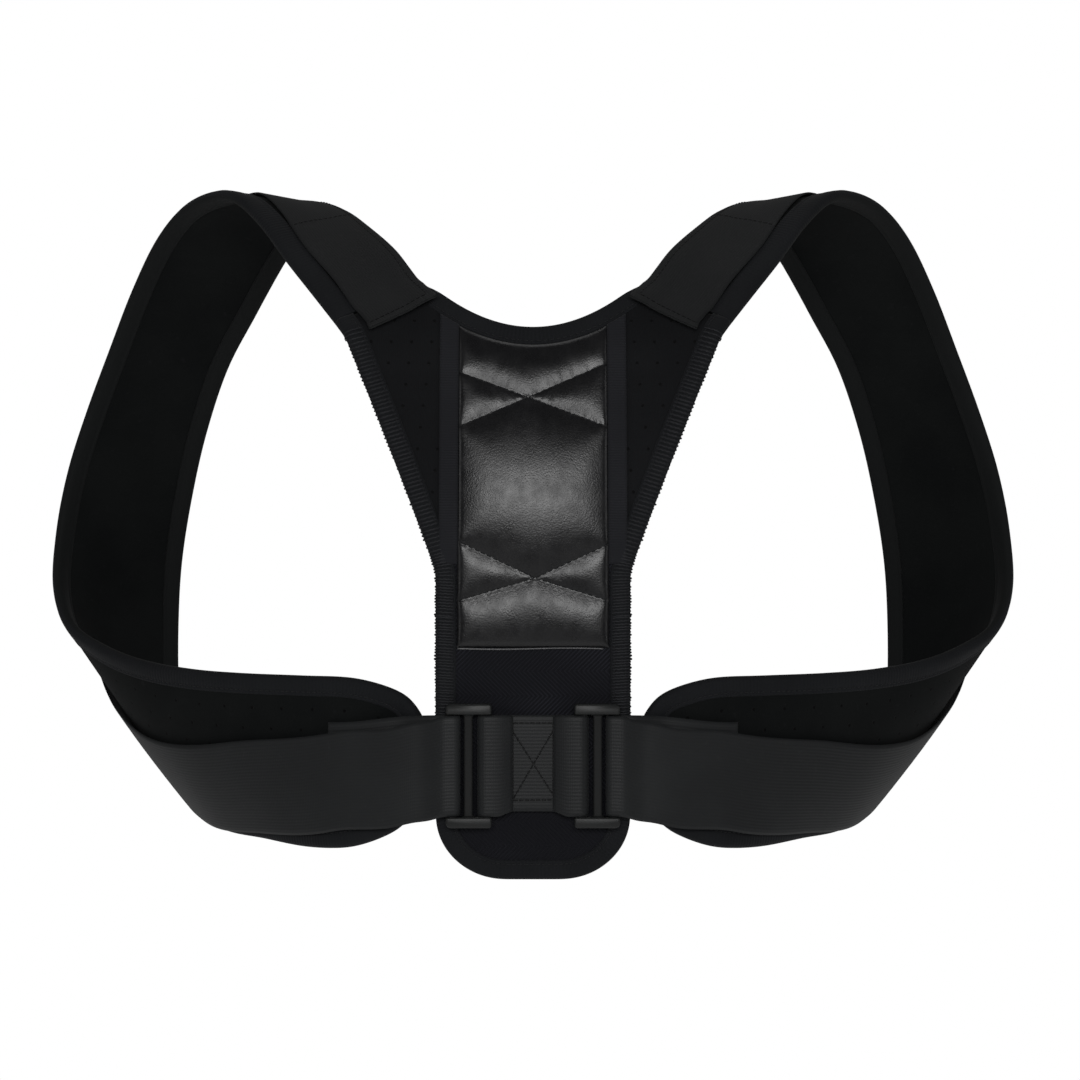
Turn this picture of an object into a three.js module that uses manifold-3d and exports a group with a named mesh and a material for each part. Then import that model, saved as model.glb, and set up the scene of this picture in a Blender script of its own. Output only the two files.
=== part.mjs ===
// Posture corrector: a padded back panel with a quilted cushion, two padded shoulder loops that
// go over the shoulders, down the front and back under the arms, and two webbing straps that
// pull the loops' ends to a pair of buckles on the panel. It keeps the form that it has when worn.
// Millimetres. +Z is up, +Y is the way the wearer faces, +X is the wearer's right.
// The origin is on the panel's inner face, on the spine line, behind the cushion's centre.
import * as THREE from "three";
import Module from "manifold-3d";
import { mergeVertices } from "three/addons/utils/BufferGeometryUtils.js";

// Overall form of the worn loops.
const HALF_SPAN = 261; // spine line to the outermost arm-side edge
const LOOP_DEPTH = 194; // panel's inner face to the front of the chest straps
const LOOP_RISE = 296; // waist strap level to the top of the shoulders
const STRAP_LEVEL = -134.5; // height of the waist straps' middle at the buckles

// Back panel.
const PANEL_HALF_WIDTH = 47.5;
const PANEL_THICKNESS = 4;
const YOKE_HALF_WIDTH = 93; // arm-side corner of the yoke
const YOKE_CORNER_Z = 80;
const YOKE_FOOT_Z = -38; // where the yoke starts to spread from the panel's sides
const YOKE_CURVE = 1.05; // how late the yoke's edge turns outwards
const NECK_CORNER_Z = 102.2;
const NECK_DIP = 17.6;
const NECK_LEAN = 25.8; // how far the neckline leans forwards
const BLADE_LIFT = 13.7; // how far the yoke's corners stand back over the shoulder blades
const TAIL_CORNER_Z = -160;
const TAIL_DROP = 31;
const TAIL_FLAT_HALF = 14;
const TAIL_LEAN = 4;

// Padded loops, edge bindings and facings.
const PAD_THICKNESS = 4;
const CLEARANCE = 0.3;
const BINDING_CLEARANCE = 0.5;
const BINDING_THICKNESS = 1;
const BINDING_WIDTH = 9;
const SEAM_GAP = 1.4; // between the yoke and each shoulder pad
const RIM_SHARE = 0.6; // thickness of a padded sheet at its pinched rim, as a share
const TAPE_WIDTH = 8;
const TAPE_THICKNESS = 1;
const TAPE_FOOT_Z = -9;
const COVER_WIDTH = 38;
const COVER_THICKNESS = 1.8;
const COVER_NECK_SHARE = 0.98; // the cover's neck-side edge, as a share of the pad's width
const COVER_FLAP_SHARE = 0.9; // the same at the flap's end
const COVER_FIRST = -0.2; // stations where the cover starts and ends
const COVER_LAST = 8.4;

// Quilted cushion.
const CUSHION_HALF_WIDTH = PANEL_HALF_WIDTH - BINDING_WIDTH - CLEARANCE;
const CUSHION_BOTTOM_Z = -76;
const CUSHION_SEAM_THICKNESS = 1.4;
const CUSHION_PUFF = 6.5;
const CUSHION_SIDE_ROUND = 5;
const CUSHION_SEAM_ROUND = 15;
// The two stitched crosses. centre is a share of the cushion's height at the spine line, counted
// from its bottom, and the arms' rises are shares of its half width.
const QUILT_CROSSES = [
  { centre: 0.831, upperArm: 0.406, lowerArm: 0.393 },
  { centre: 0.232, upperArm: 0.458, lowerArm: 0.314 },
];

// Webbing and buckles.
const WEB_WIDTH = 50;
const WEB_THICKNESS = 1.5;
const BUCKLE_WIDTH = 23;
const BUCKLE_MARGIN = 4; // buckle's outer end to the panel's side
const BUCKLE_BAR_THICKNESS = 3;
const BUCKLE_INNER_BAR = 5.5;
const BUCKLE_MIDDLE_BAR = 4.5;
const BUCKLE_OUTER_BAR = 4;
const BUCKLE_INNER_SLOT = 4;
const BUCKLE_RAIL_HEIGHT = 5.5;
const BUCKLE_RAIL_DEPTH = 6;
const BUCKLE_SIDE_PLAY = 0.5; // between the webbing's edge and each rail
const STRAP_SEWN_MIDDLE = 0.55; // centre line of the sewn under layer, as a share of the pad's width
const STRAP_RESTS = 6; // past the pad's tip, where the strap comes to lie in line with the buckle
const STRAP_LANDS = 17; // past the pad's tip, where the strap comes down to the pad's end
// Stations of the loop where the strap's free end is, where its under layer is sewn on, and where
// both layers leave the pad for the buckle.
const STRAP_STATIONS = { free: 15.2, sewn: 20.55, leaves: 21 };

// Stations of a padded loop, from the yoke's seam over the shoulder to the rounded end at the
// back. arm is the edge nearer the arm and body the edge nearer the neck and ribs. X is a share
// from the panel's side to HALF_SPAN, Y a share of LOOP_DEPTH, and Z a share of LOOP_RISE
// counted from STRAP_LEVEL. crown is how far the pad bows outwards, as a share of its width.
const LOOP_STATIONS = [
  {
    place: "seam", armX: 0.24, armY: 0.066, armZ: 0.751,
    bodyX: 0.047, bodyY: 0.159, bodyZ: 0.819, crown: 0.01,
  },
  {
    place: "rise", armX: 0.298, armY: 0.124, armZ: 0.804,
    bodyX: 0.107, bodyY: 0.232, bodyZ: 0.874, crown: 0.02,
  },
  {
    place: "blade", armX: 0.366, armY: 0.195, armZ: 0.866,
    bodyX: 0.178, bodyY: 0.317, bodyZ: 0.919, crown: 0.03,
  },
  {
    place: "slope", armX: 0.438, armY: 0.276, armZ: 0.936,
    bodyX: 0.239, bodyY: 0.417, bodyZ: 0.951, crown: 0.03,
  },
  {
    place: "ridge", armX: 0.504, armY: 0.357, armZ: 0.983,
    bodyX: 0.3, bodyY: 0.513, bodyZ: 0.968, crown: 0.025,
  },
  {
    place: "crest", armX: 0.57, armY: 0.452, armZ: 0.997,
    bodyX: 0.349, bodyY: 0.6, bodyZ: 0.952, crown: 0.03,
  },
  {
    place: "turn", armX: 0.655, armY: 0.556, armZ: 0.979,
    bodyX: 0.39, bodyY: 0.685, bodyZ: 0.923, crown: 0.04,
  },
  {
    place: "collar", armX: 0.733, armY: 0.656, armZ: 0.926,
    bodyX: 0.437, bodyY: 0.765, bodyZ: 0.88, crown: 0.03,
  },
  {
    place: "chest_top", armX: 0.805, armY: 0.743, armZ: 0.838,
    bodyX: 0.506, bodyY: 0.842, bodyZ: 0.801, crown: 0.03,
  },
  {
    place: "chest", armX: 0.87, armY: 0.805, armZ: 0.733,
    bodyX: 0.583, bodyY: 0.904, bodyZ: 0.705, crown: 0.03,
  },
  {
    place: "chest_mid", armX: 0.932, armY: 0.837, armZ: 0.621,
    bodyX: 0.643, bodyY: 0.955, bodyZ: 0.587, crown: 0.03,
  },
  {
    place: "chest_low", armX: 0.98, armY: 0.837, armZ: 0.511,
    bodyX: 0.684, bodyY: 0.986, bodyZ: 0.468, crown: 0.04,
  },
  {
    place: "front_low", armX: 1.003, armY: 0.792, armZ: 0.401,
    bodyX: 0.713, bodyY: 0.99, bodyZ: 0.339, crown: 0.05,
  },
  {
    place: "corner", armX: 0.998, armY: 0.702, armZ: 0.298,
    bodyX: 0.72, bodyY: 0.961, bodyZ: 0.215, crown: 0.06,
  },
  {
    place: "underarm", armX: 0.949, armY: 0.593, armZ: 0.226,
    bodyX: 0.712, bodyY: 0.897, bodyZ: 0.085, crown: 0.09,
  },
  {
    place: "side", armX: 0.855, armY: 0.481, armZ: 0.188,
    bodyX: 0.688, bodyY: 0.79, bodyZ: -0.023, crown: 0.09,
  },
  {
    place: "side_back", armX: 0.742, armY: 0.379, armZ: 0.163,
    bodyX: 0.631, bodyY: 0.633, bodyZ: -0.096, crown: 0.08,
  },
  {
    place: "back_turn", armX: 0.614, armY: 0.281, armZ: 0.15,
    bodyX: 0.541, bodyY: 0.441, bodyZ: -0.131, crown: 0.07,
  },
  {
    place: "wing", armX: 0.475, armY: 0.19, armZ: 0.145,
    bodyX: 0.425, bodyY: 0.284, bodyZ: -0.139, crown: 0.05,
  },
  {
    place: "wing_mid", armX: 0.33, armY: 0.119, armZ: 0.143,
    bodyX: 0.31, bodyY: 0.163, bodyZ: -0.146, crown: 0.03,
  },
  {
    place: "wing_near", armX: 0.199, armY: 0.063, armZ: 0.14,
    bodyX: 0.207, bodyY: 0.072, bodyZ: -0.14, crown: 0.01,
  },
  {
    place: "wing_end", armX: 0.0982, armY: 0.0341, armZ: 0.1198,
    bodyX: 0.1164, bodyY: 0.039, bodyZ: -0.1158, crown: 0,
  },
  {
    place: "wing_round", armX: 0.0554, armY: 0.0215, armZ: 0.0936,
    bodyX: 0.0706, bodyY: 0.0258, bodyZ: -0.0886, crown: 0,
  },
  {
    place: "wing_tip", armX: 0.0332, armY: 0.015, armZ: 0.0594,
    bodyX: 0.0425, bodyY: 0.0174, bodyZ: -0.0584, crown: 0,
  },
  {
    place: "tip", armX: 0.0272, armY: 0.013, armZ: 0.0191,
    bodyX: 0.0313, bodyY: 0.0143, bodyZ: -0.0251, crown: 0,
  },
];

// How the waist strap's upper layer lies on the pad, at whole stations from its first place on.
// middle is the strap's centre line as a share of the pad's width, and lift is its height over
// the pad's middle surface, counted in thicknesses of the webbing.
const STRAP_ON_PAD = [
  { place: "underarm", middle: 0.71, lift: 3.133 },
  { place: "side", middle: 0.715, lift: 3.133 },
  { place: "side_back", middle: 0.72, lift: 3.133 },
  { place: "back_turn", middle: 0.7, lift: 3.133 },
  { place: "wing", middle: 0.665, lift: 3.2 },
  { place: "wing_mid", middle: 0.635, lift: 3.533 },
  { place: "wing_near", middle: 0.6, lift: 4.4 },
];

const LAST_STATION = LOOP_STATIONS.length;
const STRAP_TABLE_FIRST = 1 + LOOP_STATIONS.findIndex((s) => s.place === STRAP_ON_PAD[0].place);
const PANEL_HALF_THICKNESS = PANEL_THICKNESS / 2;
const PAD_HALF_THICKNESS = PAD_THICKNESS / 2;
const BINDING_OUT = BINDING_CLEARANCE + BINDING_THICKNESS;
const TINY_STEP = 0.01;

function lerp(from, to, share) {
  return from + (to - from) * share;
}

// A smooth curve through values spaced one apart: uniform Catmull-Rom, straight past its ends.
function through(values, at) {
  const last = values.length - 1;
  const i = Math.min(Math.max(Math.floor(at), 0), last - 1);
  const t = at - i;
  const b = values[i];
  const c = values[i + 1];
  const a = i > 0 ? values[i - 1] : 2 * b - c;
  const d = i + 2 <= last ? values[i + 2] : 2 * c - b;
  if (t < 0) return b + ((c - a) / 2) * t;
  const square = t * t;
  const bend = 2 * a - 5 * b + 4 * c - d;
  const twist = -a + 3 * b - 3 * c + d;
  return 0.5 * (2 * b + (c - a) * t + bend * square + twist * square * t);
}

// The back panel's middle surface: it leans forwards towards the neck, stands back over the
// shoulder blades and leans forwards a little at the tail.
function backPoint(x, z) {
  const up = Math.max(0, (z - YOKE_FOOT_Z) / (NECK_CORNER_Z - YOKE_FOOT_Z));
  const down = Math.max(0, (STRAP_LEVEL - z) / (STRAP_LEVEL - TAIL_CORNER_Z + TAIL_DROP));
  const lean = NECK_LEAN * up * up + TAIL_LEAN * down * down;
  const blade = BLADE_LIFT * up * (x / YOKE_HALF_WIDTH) ** 2;
  return new THREE.Vector3(x, lean - blade - PANEL_HALF_THICKNESS, z);
}

function necklineZ(x) {
  return NECK_CORNER_Z - NECK_DIP * (1 - (x / PANEL_HALF_WIDTH) ** 2);
}

function necklineSlope(x) {
  return (2 * NECK_DIP * x) / PANEL_HALF_WIDTH ** 2;
}

// The top of what lies on the panel, just under the neckline's binding.
function underNecklineZ(x) {
  return necklineZ(x) - BINDING_WIDTH * Math.hypot(1, necklineSlope(x)) - 2 * CLEARANCE;
}

function tailZ(x) {
  const round = Math.max(0, Math.abs(x) - TAIL_FLAT_HALF) / (PANEL_HALF_WIDTH - TAIL_FLAT_HALF);
  return TAIL_CORNER_Z - TAIL_DROP * Math.sqrt(Math.max(0, 1 - round * round));
}

// The yoke's arm-side edge, from its foot (0) to its corner (1).
function yokeEdge(share) {
  const x = lerp(PANEL_HALF_WIDTH, YOKE_HALF_WIDTH, share ** YOKE_CURVE);
  return backPoint(x, lerp(YOKE_FOOT_Z, YOKE_CORNER_Z, share));
}

// One number column of a loop's stations, with the yoke's own corner as station 0.
const YOKE_CORNER = yokeEdge(1);
const NECK_CORNER = backPoint(PANEL_HALF_WIDTH, NECK_CORNER_Z);
function column(edge, corner) {
  return {
    x: [corner.x, ...LOOP_STATIONS.map((s) => lerp(PANEL_HALF_WIDTH, HALF_SPAN, s[edge + "X"]))],
    y: [corner.y, ...LOOP_STATIONS.map((s) => s[edge + "Y"] * LOOP_DEPTH)],
    z: [corner.z, ...LOOP_STATIONS.map((s) => STRAP_LEVEL + s[edge + "Z"] * LOOP_RISE)],
  };
}
const ARM_EDGE = column("arm", YOKE_CORNER);
const BODY_EDGE = column("body", NECK_CORNER);
const CROWNS = [0, ...LOOP_STATIONS.map((s) => s.crown)];

function edgePoint(edge, station) {
  return new THREE.Vector3(
    through(edge.x, station),
    through(edge.y, station),
    through(edge.z, station),
  );
}

function padWidth(station) {
  return edgePoint(ARM_EDGE, station).distanceTo(edgePoint(BODY_EDGE, station));
}

// Millimetres along the pad's middle per station.
function stationLength(station) {
  const middle = (at) => edgePoint(ARM_EDGE, at).lerp(edgePoint(BODY_EDGE, at), 0.5);
  return middle(station - TINY_STEP).distanceTo(middle(station + TINY_STEP)) / (2 * TINY_STEP);
}

// The right-hand pad's middle surface: a straight line from the arm edge (0) to the body edge
// (1), bowed outwards by the crown.
function padPoint(station, across) {
  const arm = edgePoint(ARM_EDGE, station);
  const body = edgePoint(BODY_EDGE, station);
  const chord = body.clone().sub(arm);
  const twiceMiddle = (at) => edgePoint(ARM_EDGE, at).add(edgePoint(BODY_EDGE, at));
  const along = twiceMiddle(station + TINY_STEP).sub(twiceMiddle(station - TINY_STEP));
  const outwards = along.cross(chord).normalize();
  const bow = 4 * across * (1 - across) * through(CROWNS, station) * chord.length();
  return arm.addScaledVector(chord, across).addScaledVector(outwards, bow);
}

function padNormal(station, across) {
  const along = padPoint(station + TINY_STEP, across).sub(padPoint(station - TINY_STEP, across));
  const over = padPoint(station, across + TINY_STEP).sub(padPoint(station, across - TINY_STEP));
  return along.cross(over).normalize();
}

function padOffset(station, across, height) {
  return padPoint(station, across).addScaledVector(padNormal(station, across), height);
}

function grid(rows, columns, pointAt) {
  const made = [];
  for (let i = 0; i <= rows; i++) {
    const row = [];
    for (let j = 0; j <= columns; j++) row.push(pointAt(i / rows, j / columns));
    made.push(row);
  }
  return made;
}

// Like grid, with the rows at every half station between two stations.
function stationGrid(first, last, columns, pointAt) {
  const stations = [first];
  for (let at = Math.floor(2 * first + 1) / 2; at < last - TINY_STEP; at += 0.5) stations.push(at);
  stations.push(last);
  const across = Array.from({ length: columns + 1 }, (_, j) => j / columns);
  return stations.map((station) => across.map((share) => pointAt(station, share)));
}

function mirrored(point) {
  return new THREE.Vector3(-point.x, point.y, point.z);
}

function mirroredGrid(points) {
  return points.map((row) => row.map(mirrored).reverse());
}

// A geometry from corner points and triangles that index them.
function geometryOf(points, triangles) {
  const geometry = new THREE.BufferGeometry().setFromPoints(points);
  geometry.setIndex(triangles.flat());
  const loose = geometry.toNonIndexed();
  loose.computeVertexNormals();
  return loose;
}

function mirroredGeometry(geometry) {
  const made = geometry.clone();
  const position = made.getAttribute("position");
  for (let i = 0; i < position.count; i += 3) {
    const corners = [0, 1, 2].map((k) => new THREE.Vector3().fromBufferAttribute(position, i + k));
    corners.reverse().forEach((p, k) => position.setXYZ(i + k, -p.x, p.y, p.z));
  }
  made.computeVertexNormals();
  return made;
}

// A closed sheet: the grids are joined where their points meet, and the surface is given
// thickness along its own normals, from one height to another. A height may vary by grid share,
// and rimShare thins the sheet at its open edges.
function slab(grids, bottom, top, rimShare = 1) {
  const points = [];
  const places = [];
  const found = new Map();
  const triangles = [];
  const indexOf = (p, place) => {
    const key = [p.x, p.y, p.z].map((v) => Math.round(v * 1000)).join();
    if (!found.has(key)) {
      found.set(key, points.length);
      points.push(p);
      places.push(place);
    }
    return found.get(key);
  };
  for (const g of grids) {
    const rows = g.length - 1;
    const columns = g[0].length - 1;
    const at = g.map((row, i) => row.map((p, j) => indexOf(p, [i / rows, j / columns])));
    for (let i = 0; i < rows; i++)
      for (let j = 0; j < columns; j++) {
        triangles.push([at[i][j], at[i + 1][j], at[i + 1][j + 1]]);
        triangles.push([at[i][j], at[i + 1][j + 1], at[i][j + 1]]);
      }
  }
  const whole = triangles.filter(([a, b, c]) => a !== b && b !== c && c !== a);
  const normals = points.map(() => new THREE.Vector3());
  for (const [a, b, c] of whole) {
    const side = points[b].clone().sub(points[a]);
    const face = side.cross(points[c].clone().sub(points[a]));
    for (const k of [a, b, c]) normals[k].add(face);
  }
  const edges = new Set(whole.flatMap(([a, b, c]) => [`${a},${b}`, `${b},${c}`, `${c},${a}`]));
  const pairs = [...edges].map((edge) => edge.split(",").map(Number));
  const rim = pairs.filter(([a, b]) => !edges.has(`${b},${a}`));
  const onRim = new Set(rim.flat());
  const raise = (height) =>
    points.map((p, k) => {
      const h = typeof height === "function" ? height(...places[k]) : height;
      const share = onRim.has(k) ? rimShare : 1;
      return p.clone().addScaledVector(normals[k].clone().normalize(), h * share);
    });
  const count = points.length;
  const solid = [...raise(top), ...raise(bottom)];
  const faces = whole.flatMap(([a, b, c]) => [[a, b, c], [count + c, count + b, count + a]]);
  for (const [a, b] of rim) faces.push([b, a, count + a], [b, count + a, count + b]);
  return geometryOf(solid, faces);
}

// A folded edge tape: a C-shaped section carried along an edge of a sheet. The path gives points
// on the edge of the sheet's middle surface, each with a point further in on the sheet.
function binding(path, sheetHalfThickness) {
  const inner = sheetHalfThickness + BINDING_CLEARANCE;
  const outer = inner + BINDING_THICKNESS;
  const section = [
    [BINDING_WIDTH, outer],
    [-BINDING_OUT, outer],
    [-BINDING_OUT, -outer],
    [BINDING_WIDTH, -outer],
    [BINDING_WIDTH, -inner],
    [-BINDING_CLEARANCE, -inner],
    [-BINDING_CLEARANCE, inner],
    [BINDING_WIDTH, inner],
  ];
  const INNER_SIDE = 4; // this side's quads are cut along the sheet's own diagonals
  const size = section.length;
  const points = path.flatMap(({ point, further }, i) => {
    const before = path[Math.max(i - 1, 0)].point;
    const after = path[Math.min(i + 1, path.length - 1)].point;
    const inwards = further.clone().sub(point).normalize();
    const normal = after.clone().sub(before).cross(inwards).normalize();
    return section.map(([depth, height]) =>
      point.clone().addScaledVector(inwards, depth).addScaledVector(normal, height),
    );
  });
  const faces = [];
  for (let i = 0; i + 1 < path.length; i++)
    for (let k = 0; k < size; k++) {
      const a = i * size + k;
      const b = i * size + ((k + 1) % size);
      if (k === INNER_SIDE) faces.push([a, b, a + size], [b, b + size, a + size]);
      else faces.push([a, b, b + size], [a, b + size, a + size]);
    }
  const flat = section.map(([depth, height]) => new THREE.Vector2(depth, height));
  const cap = THREE.ShapeUtils.triangulateShape(flat, []);
  const end = (path.length - 1) * size;
  const turns = THREE.ShapeUtils.isClockWise(flat);
  for (const [a, b, c] of cap) {
    faces.push(turns ? [a, b, c] : [c, b, a]);
    faces.push(turns ? [end + c, end + b, end + a] : [end + a, end + b, end + c]);
  }
  return outwardFacing(geometryOf(points, faces));
}

// Turns a closed geometry's faces over if they point inwards.
function outwardFacing(geometry) {
  const position = geometry.getAttribute("position");
  let volume = 0;
  const corner = (k) => new THREE.Vector3().fromBufferAttribute(position, k);
  for (let i = 0; i < position.count; i += 3)
    volume += corner(i).dot(corner(i + 1).cross(corner(i + 2)));
  if (volume > 0) return geometry;
  return mirroredGeometry(geometry.clone().scale(-1, 1, 1));
}

// Back panel: the panel itself, the two yoke corners and the short stretch up to each seam.
const PANEL_COLUMNS = 10;
const LOW_ROWS = 6;
const HIGH_ROWS = 8;
const YOKE_COLUMNS = 4;
const NECK_ROWS = 2;
const PANEL_SEAM = 1 - SEAM_GAP / 2 / stationLength(1);

function panelX(share) {
  return PANEL_HALF_WIDTH * Math.sin((Math.PI / 2) * (2 * share - 1));
}

function panelLow(across, up) {
  const x = panelX(across);
  return backPoint(x, lerp(tailZ(x), YOKE_FOOT_Z, up));
}

function panelHigh(across, up) {
  const x = panelX(across);
  return backPoint(x, lerp(YOKE_FOOT_Z, necklineZ(x), up));
}

function yokePoint(up, across) {
  const side = backPoint(PANEL_HALF_WIDTH, lerp(YOKE_FOOT_Z, NECK_CORNER_Z, up));
  return yokeEdge(up).lerp(side, across);
}

// The short stretch from the yoke's corners to the seam with the shoulder pad.
function neckPoint(along, across) {
  return padPoint(along * PANEL_SEAM, across);
}

function backPanel() {
  const low = grid(PANEL_COLUMNS, LOW_ROWS, panelLow);
  const high = grid(PANEL_COLUMNS, HIGH_ROWS, panelHigh);
  const yoke = grid(HIGH_ROWS, YOKE_COLUMNS, yokePoint);
  const neck = grid(NECK_ROWS, YOKE_COLUMNS, neckPoint);
  const sheets = [low, high, yoke, neck, mirroredGrid(yoke), mirroredGrid(neck)];
  return slab(sheets, -PANEL_HALF_THICKNESS, PANEL_HALF_THICKNESS, RIM_SHARE);
}

function mirroredPath(path) {
  const turned = path.map((p) => ({ point: mirrored(p.point), further: mirrored(p.further) }));
  return turned.reverse();
}

// The binding along the panel's outline, from the left seam round the tail to the right seam.
function panelBinding() {
  const TAIL_MIDDLE_Z = TAIL_CORNER_Z + TAIL_DROP;
  const tailPair = (across) => {
    const point = panelLow(across, 0);
    const further = backPoint(lerp(point.x, 0, 0.3), lerp(point.z, TAIL_MIDDLE_Z, 0.3));
    return { point, further };
  };
  const right = [];
  for (let i = PANEL_COLUMNS / 2 + 1; i <= PANEL_COLUMNS; i++) right.push(tailPair(i / PANEL_COLUMNS));
  for (let i = 1; i < LOW_ROWS; i++) {
    const up = i / LOW_ROWS;
    right.push({ point: panelLow(1, up), further: panelLow(0.5, up) });
  }
  for (let i = 0; i <= HIGH_ROWS; i++) {
    const up = i / HIGH_ROWS;
    const further = backPoint(PANEL_HALF_WIDTH - CLEARANCE, lerp(YOKE_FOOT_Z, NECK_CORNER_Z, up));
    right.push({ point: yokeEdge(up), further });
  }
  for (let i = 1; i <= NECK_ROWS; i++) {
    const along = i / NECK_ROWS;
    right.push({ point: neckPoint(along, 0), further: neckPoint(along, 1 / YOKE_COLUMNS) });
  }
  return binding([...mirroredPath(right), tailPair(0.5), ...right], PANEL_HALF_THICKNESS);
}

function necklineBinding() {
  const side = [];
  for (let i = NECK_ROWS; i > 0; i--) {
    const along = i / NECK_ROWS;
    side.push({ point: neckPoint(along, 1), further: neckPoint(along, 1 - 1 / YOKE_COLUMNS) });
  }
  side.push({ point: NECK_CORNER, further: YOKE_CORNER });
  const path = [...side];
  for (let i = PANEL_COLUMNS - 1; i > 0; i--) {
    const point = panelHigh(i / PANEL_COLUMNS, 1);
    const aside = necklineSlope(point.x) * BINDING_WIDTH;
    path.push({ point, further: backPoint(point.x + aside, point.z - BINDING_WIDTH) });
  }
  return binding([...path, ...mirroredPath(side)], PANEL_HALF_THICKNESS);
}

// Padded loop, right-hand side.
const PAD_COLUMNS = 5;
const PAD_SEAM = 1 + SEAM_GAP / 2 / stationLength(1);

function shoulderPad() {
  const sheet = stationGrid(PAD_SEAM, LAST_STATION, PAD_COLUMNS, padPoint);
  return slab([sheet], -PAD_HALF_THICKNESS, PAD_HALF_THICKNESS, RIM_SHARE);
}

// The binding of a padded loop: down its arm edge, round its end and back up its body edge.
function padBinding() {
  const sheet = stationGrid(PAD_SEAM, LAST_STATION, PAD_COLUMNS, padPoint);
  const end = sheet.length - 1;
  const beforeEnd = sheet[end - 2];
  const armEdge = sheet.slice(0, end).map((row) => ({ point: row[0], further: row[1] }));
  const bodyEdge = sheet
    .slice(0, end)
    .map((row) => ({ point: row[PAD_COLUMNS], further: row[PAD_COLUMNS - 1] }));
  const tip = sheet[end].map((point, j) => {
    const inside = Math.min(Math.max(j, 1), PAD_COLUMNS - 1);
    return { point, further: beforeEnd[inside] };
  });
  return binding([...armEdge, ...tip, ...bodyEdge.reverse()], PAD_HALF_THICKNESS);
}

// The woven cover that lies on the shoulder and ends in a flap over the yoke.
function shoulderCover() {
  const COLUMNS = 3;
  const FLAP_STATIONS = 1.2;
  const lift = PAD_HALF_THICKNESS + BINDING_OUT + 3 * CLEARANCE;
  const sheet = stationGrid(COVER_FIRST, COVER_LAST, COLUMNS, (station, across) => {
    const past = Math.min((station - COVER_FIRST) / FLAP_STATIONS, 1);
    const neckSide = lerp(COVER_FLAP_SHARE, COVER_NECK_SHARE, past);
    const armSide = neckSide - COVER_WIDTH / padWidth(Math.max(station, 0));
    return padPoint(station, lerp(armSide, neckSide, across));
  });
  return slab([sheet], lift, lift + COVER_THICKNESS);
}

// A vertical tape beside the cushion, right-hand side.
function panelTape() {
  const STEPS = 8;
  const outside = PANEL_HALF_WIDTH - CLEARANCE;
  const sheet = grid(2, STEPS, (across, up) => {
    const x = lerp(outside - TAPE_WIDTH, outside, across);
    return backPoint(x, lerp(TAPE_FOOT_Z, underNecklineZ(x), up));
  });
  const lift = PANEL_HALF_THICKNESS + 1.5 * CLEARANCE;
  return slab([sheet], lift, lift + TAPE_THICKNESS);
}

// Distance from a point to the nearest stitched arm of the two quilting crosses.
function seamDistance(x, z) {
  let nearest = Infinity;
  for (const cross of QUILT_CROSSES) {
    const up = z - lerp(CUSHION_BOTTOM_Z, underNecklineZ(0), cross.centre);
    for (const slope of [cross.upperArm, -cross.lowerArm]) {
      const length = CUSHION_HALF_WIDTH * Math.hypot(1, slope);
      const along = (Math.abs(x) + up * slope) / Math.hypot(1, slope);
      const held = Math.min(Math.max(along, 0), length) / Math.hypot(1, slope);
      nearest = Math.min(nearest, Math.hypot(Math.abs(x) - held, up - held * slope));
    }
  }
  return nearest;
}

// A quarter-round rise from 0 at a seam to 1 at the given distance from it.
function puffed(distance, round) {
  const share = Math.min(Math.max(distance, 0) / round, 1);
  return Math.sqrt(1 - (1 - share) ** 2);
}

// The quilted cushion: puffed cells between two stitched crosses, sewn flat at its border.
function quiltedCushion() {
  const COLUMNS = 12;
  const ROWS = 22;
  const zAt = (x, up) => lerp(CUSHION_BOTTOM_Z, underNecklineZ(x), up);
  const xAt = (across) => lerp(-CUSHION_HALF_WIDTH, CUSHION_HALF_WIDTH, across);
  const sheet = grid(COLUMNS, ROWS, (across, up) => backPoint(xAt(across), zAt(xAt(across), up)));
  const lift = PANEL_HALF_THICKNESS + 1.5 * CLEARANCE;
  const height = (across, up) => {
    const x = xAt(across);
    const z = zAt(x, up);
    const side = puffed(CUSHION_HALF_WIDTH - Math.abs(x), CUSHION_SIDE_ROUND);
    const ends = puffed(Math.min(z - zAt(x, 0), zAt(x, 1) - z), CUSHION_SEAM_ROUND);
    const cell = puffed(seamDistance(x, z), CUSHION_SEAM_ROUND);
    return lift + CUSHION_SEAM_THICKNESS + CUSHION_PUFF * side * ends * cell;
  };
  return slab([sheet], lift, height);
}

// Levels in front of the panel, as -Y: what lies on it, then the buckle's bars.
const PANEL_FACE = PANEL_THICKNESS;
const STRAP_FLOOR = PANEL_FACE + BINDING_OUT + CLEARANCE;
const BAR_BACK = STRAP_FLOOR + WEB_THICKNESS + CLEARANCE;
const BAR_FRONT = BAR_BACK + BUCKLE_BAR_THICKNESS;
const STRAP_FRONT = BAR_FRONT + CLEARANCE + WEB_THICKNESS / 2;
const BUCKLE_OUTER_X = PANEL_HALF_WIDTH - BUCKLE_MARGIN;
const BUCKLE_INNER_X = BUCKLE_OUTER_X - BUCKLE_WIDTH;
const OUTER_BAR_INNER_X = BUCKLE_OUTER_X - BUCKLE_OUTER_BAR;

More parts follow.
